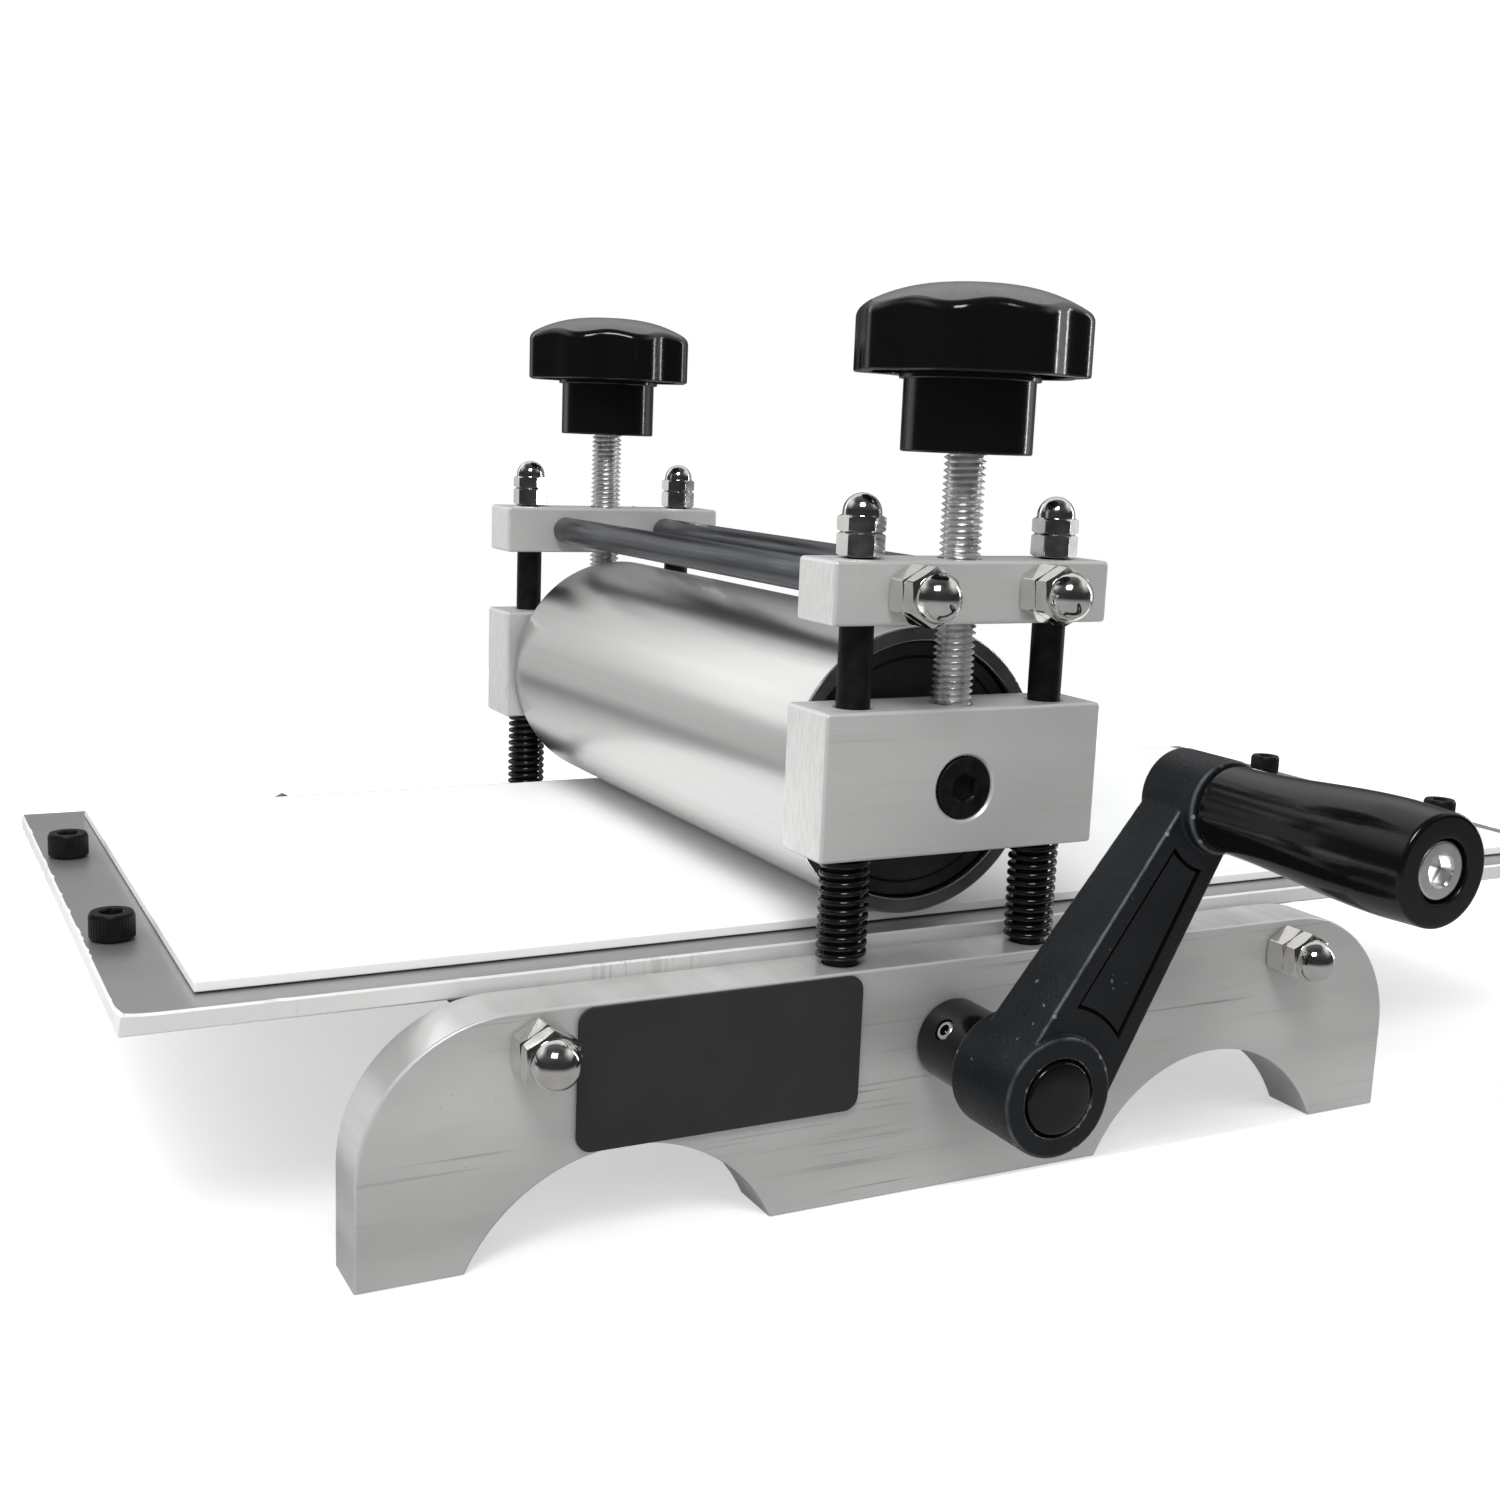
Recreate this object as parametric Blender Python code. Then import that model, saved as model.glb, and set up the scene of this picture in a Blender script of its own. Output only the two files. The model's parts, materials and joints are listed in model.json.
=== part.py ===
"""Small hand cranked etching press for a table top.

Metres, +Z up. The origin lies under the middle foot of the crank side plate, at mid thickness,
straight below the axis of both rollers. The bed travels along X and the crank side faces -Y.
"""

from math import asin, cos, pi, radians, sin, sqrt

import bmesh
import bpy
from mathutils import Matrix, Vector
from mathutils.geometry import intersect_point_line

# Fits shared by every piece
seat_gap = 0.0003
fit_gap = 0.0003
overrun = 0.001
stud_diameter = 0.006

# Side plates, with two arches between three feet
plate_length = 0.2375
plate_height = 0.047
plate_thickness = 0.013
plate_spacing = 0.176
plate_corner_radius = 0.028
plate_bevel = 0.0006
end_foot_length = 0.0195
middle_foot_length = 0.0772
arch_height = 0.0193

# Rods that tie the side plates and carry the bed
base_rod_diameter = 0.010
base_rod_below_top = 0.0067
base_rod_inset = 0.03225

# Blank plate on the outer face of the crank side plate, from the left nut to the crank
label_nut_gap = 0.0016
label_axis_gap = 0.0211
label_arch_gap = 0.0003
label_top_gap = 0.0004
label_thickness = 0.0008
label_corner_radius = 0.003

# Guide posts and the blocks on top of them
post_diameter = 0.0066
post_offset = 0.0221
post_embed = 0.017
post_stud_diameter = 0.005
top_block_length = 0.062
top_block_width = 0.014
top_block_height = 0.012
top_rod_diameter = 0.007
top_rod_web = 0.0013
top_block_clearance = 0.0021
block_bevel = 0.0006

# Nuts: a plain nut under a domed one on every stud, smaller ones on the guide posts
nut_across_flats = 0.010
plain_nut_height = 0.005
domed_nut_hex_height = 0.0035
nut_dome_diameter = 0.0092
nut_dome_height = 0.0047
post_nut_across_flats = 0.008
post_plain_nut_height = 0.0045
post_domed_nut_hex_height = 0.0032
post_nut_dome_diameter = 0.0074
post_nut_dome_height = 0.0041
nut_chamfer = 0.0006

# Bearing blocks that slide on the posts
bearing_block_length = 0.0628
bearing_block_width = 0.0155
bearing_block_height = 0.0285
bearing_block_below_axis = 0.0129
screw_seat_depth = 0.002

# Upper roller: a tube closed by two discs, on ball bearings
upper_roller_diameter = 0.059
upper_roller_wall = 0.0032
roller_side_gap = 0.002
end_disc_recess = 0.0015
end_disc_thickness = 0.008
bearing_diameter = 0.022
bearing_width = 0.007
pivot_diameter = 0.008
pivot_head_diameter = 0.012
pivot_head_height = 0.003
pivot_socket = 0.005
pivot_socket_depth = 0.002
pivot_tail = 0.001

# Return springs round the posts, under the bearing blocks
spring_diameter = 0.010
spring_wire = 0.0012
spring_pitch = 0.00168

# Pressure screws and their lobed knobs
screw_diameter = 0.008
screw_in_knob = 0.012
screw_point = 0.001
knob_clear_height = 0.0198
knob_stem_diameter = 0.025
knob_stem_height = 0.0145
knob_collar_diameter = 0.0268
knob_collar_height = 0.001
knob_head_diameter = 0.0451
knob_rim_height = 0.0113
knob_dome_height = 0.0055
knob_skirt_depth = 0.0025
knob_skirt_wall = 0.0022
knob_edge = 0.0006
knob_lobes = 8
knob_lobe_depth = 0.0014

# Bed, the board on it and the screws that stop it
bed_length = 0.360
bed_side_gap = 0.0015
bed_thickness = 0.0037
bed_offset = 0.026
bed_bevel = 0.0004
board_end_border = 0.0135
board_side_border = 0.0075
board_thickness = 0.002
nip_gap = 0.0003
stop_screw_inset = 0.0055
stop_screw_offset = 0.034
stop_screw_diameter = 0.005
stop_head_diameter = 0.0085
stop_head_height = 0.005
stop_socket = 0.004
stop_socket_depth = 0.0025

# Lower roller, its shaft and the bushes in the side plates
lower_roller_diameter = 0.028
lower_roller_side_gap = 0.0015
shaft_diameter = 0.010
bush_diameter = 0.014
bush_flange_diameter = 0.018
clip_diameter = 0.015
clip_thickness = 0.001
clip_groove_depth = 0.0007
clip_clearance = 0.0004
shaft_tail = 0.004

# Crank: a collar on the shaft, a hub, a tapered arm and a smaller hub for the grip
crank_lean = radians(35.4)
crank_throw = 0.0623
collar_gap = 0.0005
collar_diameter = 0.0165
collar_length = 0.017
crank_hub_diameter = 0.023
crank_hub_length = 0.018
shaft_end_web = 0.0033
arm_width_at_hub = 0.0216
arm_width_at_grip = 0.0142
arm_thickness_at_hub = 0.015
arm_thickness_at_grip = 0.0105
arm_set_back = 0.0005
arm_bevel = 0.0008
grip_hub_diameter = 0.018
grip_hub_length = 0.0145
grip_hub_set_back = 0.002
panel_depth = 0.0008
panel_width_at_hub = 0.0108
panel_width_at_grip = 0.0076
panel_from_hub = 0.0165
panel_from_grip = 0.0125
hub_cap_diameter = 0.0138
hub_cap_depth = 0.0025
hub_cap_proud = 0.0008
set_screw_diameter = 0.004
set_screw_from_plate = 0.0075
set_screw_socket = 0.002
set_screw_socket_depth = 0.0012

# Revolving grip and the screw through it
grip_length = 0.0495
grip_neck_diameter = 0.0164
grip_neck_length = 0.0065
grip_swell_length = 0.011
grip_belly_diameter = 0.0202
grip_end_diameter = 0.0194
grip_edge = 0.0008
grip_head_diameter = 0.010
grip_head_height = 0.004
grip_head_recess = 0.0005
grip_head_clearance = 0.0005
grip_socket = 0.005
grip_socket_depth = 0.0025
grip_screw_tail = 0.001

# How finely round pieces are faceted
fine_sides = 44
round_sides = 20
thin_sides = 16
hex_sides = 12
lobe_points = 4
corner_steps = 8
arch_steps = 10
swell_steps = 5
dome_steps = 3
label_corner_steps = 3
coil_points_per_turn = 8
sharp_angle = radians(35)
dome_end_angle = radians(78)
knob_dome_shares = ((0.90, 0.26), (0.62, 0.68), (0.24, 1.0))
millimetres_per_metre = 1000

# Places that follow from the sizes above
outer_face = plate_thickness / 2
rod_offset = plate_length / 2 - base_rod_inset
base_rod_height = plate_height - base_rod_below_top
bed_width = plate_spacing - plate_thickness - 2 * bed_side_gap
bed_underside = base_rod_height + base_rod_diameter / 2 + seat_gap
bed_top = bed_underside + bed_thickness
board_underside = bed_top + seat_gap
board_top = board_underside + board_thickness
crank_height = bed_underside - seat_gap - lower_roller_diameter / 2
roller_height = board_top + nip_gap + upper_roller_diameter / 2
bearing_underside = roller_height - bearing_block_below_axis
bearing_top = bearing_underside + bearing_block_height
bearing_inner_face = outer_face - bearing_block_width
top_block_underside = roller_height + upper_roller_diameter / 2 + top_block_clearance
post_height = top_block_underside - plate_height
top_rod_offset = post_offset - (post_stud_diameter + stud_diameter) / 2 - 2 * fit_gap - top_rod_web
top_block_top = top_block_underside + top_block_height
top_rod_height = top_block_underside + top_block_height / 2
upper_roller_length = plate_spacing + 2 * bearing_inner_face - 2 * roller_side_gap
spring_underside = plate_height + seat_gap
spring_top = bearing_underside - seat_gap
nut_thread_depth = plain_nut_height + domed_nut_hex_height
post_nut_thread_depth = post_plain_nut_height + post_domed_nut_hex_height
screw_underside = bearing_top - screw_seat_depth + seat_gap
knob_underside = top_block_top + knob_clear_height
collar_start = collar_gap
hub_start = collar_start + collar_length
hub_face = hub_start + crank_hub_length
shaft_in_crank = hub_face - hub_cap_depth - shaft_end_web
arm_face_at_hub = hub_face - arm_set_back
arm_rear = arm_face_at_hub - arm_thickness_at_hub
arm_face_at_grip = arm_rear + arm_thickness_at_grip
grip_hub_face = hub_face - grip_hub_set_back
grip_hub_rear = grip_hub_face - grip_hub_length
grip_start = grip_hub_face + seat_gap
grip_end = grip_start + grip_length

outward = Matrix.Rotation(radians(90), 4, "X")
sideways = Matrix.Rotation(radians(-90), 4, "Y")
side_places = {"crank": 0, "far": plate_spacing}
end_signs = {"left": -1, "right": 1}


def surface(name, colour, roughness, metallic):
    """A plain surface that pieces of one finish share"""
    if name in bpy.data.materials:
        return bpy.data.materials[name]
    material = bpy.data.materials.new(name)
    material.use_nodes = True
    shader = material.node_tree.nodes["Principled BSDF"]
    shader.inputs["Base Color"].default_value = (*colour, 1)
    shader.inputs["Roughness"].default_value = roughness
    shader.inputs["Metallic"].default_value = metallic
    return material


def drawn_aluminium():
    return surface("drawn_aluminium", (0.62, 0.62, 0.60), 0.38, 1.0)


def bed_metal():
    return surface("bed_metal", (0.42, 0.42, 0.43), 0.42, 1.0)


def turned_metal():
    return surface("turned_metal", (0.66, 0.66, 0.67), 0.22, 1.0)


def dark_end_metal():
    return surface("dark_end_metal", (0.05, 0.05, 0.055), 0.4, 0.6)


def dark_rod_steel():
    return surface("dark_rod_steel", (0.12, 0.13, 0.145), 0.35, 0.9)


def black_steel():
    return surface("black_steel", (0.015, 0.015, 0.017), 0.45, 0.5)


def spring_steel():
    return surface("spring_steel", (0.012, 0.012, 0.014), 0.18, 0.6)


def nickel():
    return surface("nickel", (0.72, 0.71, 0.69), 0.12, 1.0)


def zinc_screw():
    return surface("zinc_screw", (0.66, 0.66, 0.68), 0.25, 1.0)


def bronze():
    return surface("bronze", (0.55, 0.38, 0.16), 0.35, 1.0)


def bearing_steel():
    return surface("bearing_steel", (0.5, 0.5, 0.52), 0.2, 1.0)


def gloss_black():
    return surface("gloss_black", (0.01, 0.01, 0.012), 0.12, 0.0)


def crank_paint():
    return surface("crank_paint", (0.03, 0.034, 0.04), 0.5, 0.1)


def blank_label():
    return surface("blank_label", (0.027, 0.027, 0.028), 0.55, 0.0)


def white_board():
    return surface("white_board", (0.9, 0.9, 0.9), 0.4, 0.0)


def circle(radius):
    return lambda angle: radius


def hexagon(across_flats):
    half = across_flats / 2
    return lambda angle: half / cos((angle + pi / 6) % (pi / 3) - pi / 6)


def lobed(radius, depth):
    return lambda angle: radius - depth * (1 - cos(knob_lobes * angle)) / 2


def faced_out(form, heading=None):
    """Turns every face outwards, and the whole form along its heading"""
    bmesh.ops.recalc_face_normals(form, faces=form.faces[:])
    if heading is not None:
        form.transform(heading)
    return form


def ring_body(rings, sides, through=False, heading=None):
    """A closed body through a stack of rings along +Z, capped at both ends or open right through"""
    form = bmesh.new()
    loops = []
    for radius_at, height in rings:
        loop = []
        for step in range(sides):
            angle = 2 * pi * step / sides
            radius = radius_at(angle)
            loop.append(form.verts.new((radius * cos(angle), radius * sin(angle), height)))
        loops.append(loop)
    pairs = list(zip(loops, loops[1:]))
    if through:
        pairs.append((loops[-1], loops[0]))
    else:
        form.faces.new(loops[0])
        form.faces.new(loops[-1])
    for lower, upper in pairs:
        for step in range(sides):
            after = (step + 1) % sides
            form.faces.new((lower[step], lower[after], upper[after], upper[step]))
    return faced_out(form, heading)


def turned(profile, sides=round_sides, through=False, heading=None):
    """A body of revolution from pairs of radius and height"""
    rings = [(circle(radius), height) for radius, height in profile]
    return ring_body(rings, sides, through, heading)


def pin(radius, start, end, heading=None):
    return turned([(radius, start), (radius, end)], heading=heading)


def slab(outline, low, high, bevel=0, heading=None):
    """A flat outline given thickness, with a small bevel round both faces"""
    form = bmesh.new()
    lower = [form.verts.new((across, along, low)) for across, along in outline]
    upper = [form.verts.new((across, along, high)) for across, along in outline]
    ends = [form.faces.new(lower), form.faces.new(upper)]
    for step in range(len(outline)):
        after = (step + 1) % len(outline)
        form.faces.new((lower[step], lower[after], upper[after], upper[step]))
    bmesh.ops.recalc_face_normals(form, faces=form.faces[:])
    if bevel:
        edges = [edge for face in ends for edge in face.edges]
        bmesh.ops.bevel(form, geom=edges, offset=bevel, segments=1, affect="EDGES")
    return faced_out(form, heading)


def box(size, centre, bevel):
    """A rectangular block with all its edges bevelled"""
    form = bmesh.new()
    bmesh.ops.create_cube(form, size=1)
    form.transform(Matrix.Translation(centre) @ Matrix.Diagonal((*size, 1)))
    bmesh.ops.bevel(form, geom=form.edges[:], offset=bevel, segments=1, affect="EDGES")
    return faced_out(form)


def tapered_bar(lengths, half_widths, rears, faces, bevel=0):
    """A bar along +Z whose width and depth change evenly from its low end to its high end"""
    form = bmesh.new()
    corners = []
    for length, half_width, rear, face in zip(lengths, half_widths, rears, faces):
        for across, depth in ((-1, rear), (1, rear), (1, face), (-1, face)):
            corners.append(form.verts.new((across * half_width, -depth, length)))
    form.faces.new(corners[:4])
    form.faces.new(corners[4:])
    for step in range(4):
        after = (step + 1) % 4
        form.faces.new((corners[step], corners[after], corners[after + 4], corners[step + 4]))
    if bevel:
        bmesh.ops.bevel(form, geom=form.edges[:], offset=bevel, segments=1, affect="EDGES")
    return faced_out(form)


def arc(centre, radius, start, end, steps):
    """Points along an arc, both ends included"""
    angles = [start + (end - start) * step / steps for step in range(steps + 1)]
    return [(centre[0] + radius * cos(angle), centre[1] + radius * sin(angle)) for angle in angles]


def rounded_rectangle(length, height, radius, steps):
    """A rectangle about the origin with round corners"""
    outline = []
    for index, (across, along) in enumerate(((1, 1), (-1, 1), (-1, -1), (1, -1))):
        centre = (across * (length / 2 - radius), along * (height / 2 - radius))
        outline += arc(centre, radius, index * pi / 2, (index + 1) * pi / 2, steps)
    return outline


def put(name, data, position, turn, parent):
    thing = bpy.data.objects.new(name, data)
    bpy.context.scene.collection.objects.link(thing)
    thing.location = position
    thing.rotation_euler = turn
    thing.parent = parent
    return thing


def mesh_of(name, form):
    mesh = bpy.data.meshes.new(name)
    form.to_mesh(mesh)
    form.free()
    return mesh


def piece(name, form, material, position=(0, 0, 0), turn=(0, 0, 0), parent=None):
    """One named object from a finished form"""
    mesh = mesh_of(name, form)
    mesh.shade_smooth()
    mesh.set_sharp_from_angle(angle=sharp_angle)
    mesh.materials.append(material)
    return put(name, mesh, position, turn, parent)


def combine(target, form, operation, label, position=(0, 0, 0)):
    """Joins a form to a piece, or cuts it out, in the piece's own axes"""
    tool = put(label, mesh_of(label, form), position, (0, 0, 0), target)
    tool.hide_render = True
    tool.display_type = "WIRE"
    change = target.modifiers.new(label, "BOOLEAN")
    change.operation = operation
    change.object = tool
    change.solver = "EXACT"


def cut(target, form, label, position=(0, 0, 0)):
    combine(target, form, "DIFFERENCE", label, position)


def side_plate_outline():
    """Three feet, two arches and round top corners, seen from the crank side"""
    half = plate_length / 2
    half_middle = middle_foot_length / 2
    half_arch = (half - end_foot_length - half_middle) / 2
    arch_x = half_middle + half_arch
    arch_radius = (half_arch ** 2 + arch_height ** 2) / (2 * arch_height)
    sunk = arch_radius - arch_height
    rise = asin(sunk / arch_radius)
    outline = [(-half, 0)]
    outline += arc((-arch_x, -sunk), arch_radius, pi - rise, rise, arch_steps)
    outline += arc((arch_x, -sunk), arch_radius, pi - rise, rise, arch_steps)
    outline += [(half, 0)]
    corner_height = plate_height - plate_corner_radius
    corner_x = half - plate_corner_radius
    outline += arc((corner_x, corner_height), plate_corner_radius, 0, pi / 2, corner_steps)
    outline += arc((-corner_x, corner_height), plate_corner_radius, pi / 2, pi, corner_steps)
    return outline


def side_plate(side):
    form = slab(side_plate_outline(), -outer_face, outer_face, plate_bevel, outward)
    plate = piece(f"side_plate_{side}", form, drawn_aluminium(), side_position(side), side_turn(side))
    through = outer_face + overrun
    cut(plate, pin(bush_diameter / 2 + fit_gap, -through, through, outward),
        f"bush_hole_{side}", (0, 0, crank_height))
    for end, sign in end_signs.items():
        cut(plate, pin(stud_diameter / 2 + fit_gap, -through, through, outward),
            f"base_rod_hole_{side}_{end}", (sign * rod_offset, 0, base_rod_height))
        cut(plate, pin(post_diameter / 2 + fit_gap, -post_embed - seat_gap, overrun),
            f"post_hole_{side}_{end}", (sign * post_offset, 0, plate_height))


def label_plate():
    """Lies between the left nut and the crank, and between the arches and the plate's top"""
    left = -rod_offset + nut_across_flats / sqrt(3) + label_nut_gap
    right = -label_axis_gap
    low = arch_height + label_arch_gap
    high = plate_height - label_top_gap
    outline = rounded_rectangle(right - left, high - low, label_corner_radius, label_corner_steps)
    form = slab(outline, 0, label_thickness, 0, outward)
    middle = ((left + right) / 2, -outer_face - seat_gap, (low + high) / 2)
    piece("label_plate", form, blank_label(), middle)


def tie_rod(name, radius, shank_half, reach, x, height):
    """A rod across the press, with a thinner stud at each end"""
    stud = stud_diameter / 2
    profile = [(stud, -reach), (stud, -shank_half), (radius, -shank_half)]
    profile += [(radius, shank_half), (stud, shank_half), (stud, reach)]
    form = turned(profile, thin_sides, heading=outward)
    piece(name, form, dark_rod_steel(), (x, plate_spacing / 2, height))


def tie_rods():
    reach = plate_spacing / 2 + outer_face + nut_thread_depth
    base_half = plate_spacing / 2 - outer_face - seat_gap
    top_half = plate_spacing / 2 + outer_face - top_block_width - seat_gap
    for end, sign in end_signs.items():
        tie_rod(f"base_rod_{end}", base_rod_diameter / 2, base_half, reach,
                sign * rod_offset, base_rod_height)
        tie_rod(f"top_rod_{end}", top_rod_diameter / 2, top_half, reach,
                sign * top_rod_offset, top_rod_height)


def nut_form(across_flats, plain_height, hex_height, dome_diameter, dome_height, hole, heading=None):
    """A plain nut with a domed nut on it, over a blind thread hole as deep as both hexagons"""
    flats = hexagon(across_flats)
    eased = circle(across_flats / 2 - nut_chamfer)
    hex_top = plain_height + hex_height
    rings = [(circle(hole), hex_top), (circle(hole), 0), (eased, 0), (flats, nut_chamfer)]
    rings += [(flats, plain_height - nut_chamfer), (eased, plain_height)]
    rings += [(flats, plain_height + nut_chamfer), (flats, hex_top)]
    for step in range(dome_steps + 1):
        angle = dome_end_angle * step / dome_steps
        height = hex_top + dome_height * sin(angle)
        rings.append((circle(dome_diameter / 2 * cos(angle)), height))
    return ring_body(rings, hex_sides, heading=heading)


def rod_nut():
    return nut_form(nut_across_flats, plain_nut_height, domed_nut_hex_height, nut_dome_diameter,
                    nut_dome_height, stud_diameter / 2 + fit_gap, outward)


def post_nut():
    return nut_form(post_nut_across_flats, post_plain_nut_height, post_domed_nut_hex_height,
                    post_nut_dome_diameter, post_nut_dome_height, post_stud_diameter / 2 + fit_gap)


def nuts():
    """One pair of nuts on every stud end, on both sides of the press"""
    out = outer_face + seat_gap
    for side in side_places:
        y = side_position(side)[1]
        face = y + outward_sign(side) * out
        for end, sign in end_signs.items():
            piece(f"base_nut_{side}_{end}", rod_nut(), nickel(),
                  (sign * rod_offset, face, base_rod_height), side_turn(side))
            piece(f"top_nut_{side}_{end}", rod_nut(), nickel(),
                  (sign * top_rod_offset, face, top_rod_height), side_turn(side))
            piece(f"post_nut_{side}_{end}", post_nut(), nickel(),
                  (sign * post_offset, y, top_block_top + seat_gap))


def guide_posts():
    """Posts screwed into the side plates, stepped down to a stud through the top blocks"""
    shoulder = post_height - seat_gap
    stud_end = post_height + top_block_height + post_nut_thread_depth
    profile = [(post_diameter / 2, -post_embed), (post_diameter / 2, shoulder)]
    profile += [(post_stud_diameter / 2, shoulder), (post_stud_diameter / 2, stud_end)]
    for side in side_places:
        for end, sign in end_signs.items():
            position = (sign * post_offset, side_position(side)[1], plate_height)
            piece(f"guide_post_{side}_{end}", turned(profile, thin_sides), black_steel(), position)


def spring_points():
    """One wire from seat to seat: a short straight end, the coils, and another straight end"""
    radius = (spring_diameter - spring_wire) / 2
    height = spring_top - spring_underside
    climb = height - 2 * spring_wire
    steps = round(climb / spring_pitch) * coil_points_per_turn
    points = [Vector((radius, 0, 0))]
    for step in range(steps + 1):
        angle = 2 * pi * step / coil_points_per_turn
        rise = spring_wire + climb * step / steps
        points.append(Vector((radius * cos(angle), radius * sin(angle), rise)))
    points.append(Vector((radius, 0, height)))
    return points


def least_gap(points, wire):
    """The clear space between the turns of one wire, measured from every point to every far stretch"""
    apart = coil_points_per_turn // 2
    gaps = []
    for index, point in enumerate(points):
        for start in range(index + apart, len(points) - 1):
            low, high = points[start], points[start + 1]
            nearest, share = intersect_point_line(point, low, high)
            nearest = low + (high - low) * min(max(share, 0), 1)
            gaps.append((point - nearest).length - wire)
    return min(gaps)


def return_springs():
    points = spring_points()
    gap = least_gap(points, spring_wire) * millimetres_per_metre
    print(f"return springs: least gap between turns {gap:.2f} mm")
    for side in side_places:
        for end, sign in end_signs.items():
            name = f"return_spring_{side}_{end}"
            wire = bpy.data.curves.new(name, "CURVE")
            wire.dimensions = "3D"
            wire.bevel_depth = spring_wire / 2
            wire.bevel_resolution = 1
            wire.render_resolution_u = 0
            wire.use_fill_caps = True
            path = wire.splines.new("POLY")
            path.points.add(len(points) - 1)
            for node, point in zip(path.points, points):
                node.co = (*point, 1)
            wire.materials.append(spring_steel())
            y = side_position(side)[1]
            put(name, wire, (sign * post_offset, y, spring_underside), (0, 0, 0), None)


def top_block(side):
    size = (top_block_length, top_block_width, top_block_height)
    middle = top_block_height / 2
    form = box(size, (0, top_block_width / 2 - outer_face, middle), block_bevel)
    x, y, _ = side_position(side)
    block = piece(f"top_block_{side}", form, drawn_aluminium(), (x, y, top_block_underside), side_turn(side))
    post_hole = post_stud_diameter / 2 + fit_gap
    rod_hole = stud_diameter / 2 + fit_gap
    over = top_block_height + overrun
    through = top_block_width + overrun
    cut(block, pin(screw_diameter / 2 + fit_gap, -overrun, over), f"screw_hole_{side}")
    for end, sign in end_signs.items():
        cut(block, pin(post_hole, -overrun, over), f"stud_hole_{side}_{end}", (sign * post_offset, 0, 0))
        cut(block, pin(rod_hole, -through, through, outward),
            f"top_rod_hole_{side}_{end}", (sign * top_rod_offset, 0, middle))


def bearing_block(side, carriage):
    size = (bearing_block_length, bearing_block_width, bearing_block_height)
    low = -bearing_block_below_axis
    high = low + bearing_block_height
    centre = (0, bearing_block_width / 2 - outer_face, (low + high) / 2)
    form = box(size, centre, block_bevel)
    block = piece(f"bearing_block_{side}", form, drawn_aluminium(),
                  (0, side_position(side)[1], 0), side_turn(side), carriage)
    for end, sign in end_signs.items():
        cut(block, pin(post_diameter / 2 + fit_gap, low - overrun, high + overrun),
            f"slide_hole_{side}_{end}", (sign * post_offset, 0, 0))
    through = bearing_block_width + overrun
    cut(block, pin(pivot_diameter / 2 + fit_gap, -through, through, outward), f"pivot_hole_{side}")
    head_floor = outer_face - pivot_head_height - seat_gap
    cut(block, pin(pivot_head_diameter / 2 + fit_gap, head_floor, through, outward), f"pivot_seat_{side}")
    cut(block, pin(screw_diameter / 2 + fit_gap, high - screw_seat_depth, high + overrun),
        f"screw_seat_{side}")


def pivot_screw(side, carriage):
    """The stub axle that each roller bearing runs on, with its head sunk in the block"""
    tail = bearing_inner_face - seat_gap - bearing_width - pivot_tail
    head_floor = outer_face - pivot_head_height
    shank = circle(pivot_diameter / 2)
    head = circle(pivot_head_diameter / 2)
    socket = hexagon(pivot_socket)
    rings = [(shank, tail), (shank, head_floor), (head, head_floor), (head, outer_face)]
    rings += [(socket, outer_face), (socket, outer_face - pivot_socket_depth)]
    form = ring_body(rings, round_sides, heading=outward)
    position = (0, side_position(side)[1], 0)
    piece(f"roller_pivot_{side}", form, black_steel(), position, side_turn(side), carriage)


def upper_roller(carriage):
    """Tube, end discs and ball bearings, turning on the two pivot screws"""
    axis = put("upper_roller_axis", None, (0, plate_spacing / 2, 0), (0, 0, 0), carriage)
    half = upper_roller_length / 2
    outside = upper_roller_diameter / 2
    inside = outside - upper_roller_wall
    profile = [(outside, -half), (outside, half), (inside, half), (inside, -half)]
    piece("upper_roller", turned(profile, fine_sides, True, outward), turned_metal(), parent=axis)
    disc_face = half - end_disc_recess
    disc_rear = disc_face - end_disc_thickness
    disc_rim = inside - fit_gap
    disc_hole = bearing_diameter / 2 + fit_gap
    disc = [(disc_rim, disc_rear), (disc_rim, disc_face), (disc_hole, disc_face), (disc_hole, disc_rear)]
    bearing_face = plate_spacing / 2 + bearing_inner_face - seat_gap
    bearing_rear = bearing_face - bearing_width
    race = bearing_diameter / 2
    bore = pivot_diameter / 2 + fit_gap
    bearing = [(race, bearing_rear), (race, bearing_face), (bore, bearing_face), (bore, bearing_rear)]
    for side in side_places:
        piece(f"roller_end_{side}", turned(disc, round_sides, True, outward), dark_end_metal(),
              turn=side_turn(side), parent=axis)
        piece(f"roller_bearing_{side}", turned(bearing, round_sides, True, outward), bearing_steel(),
              turn=side_turn(side), parent=axis)


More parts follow.
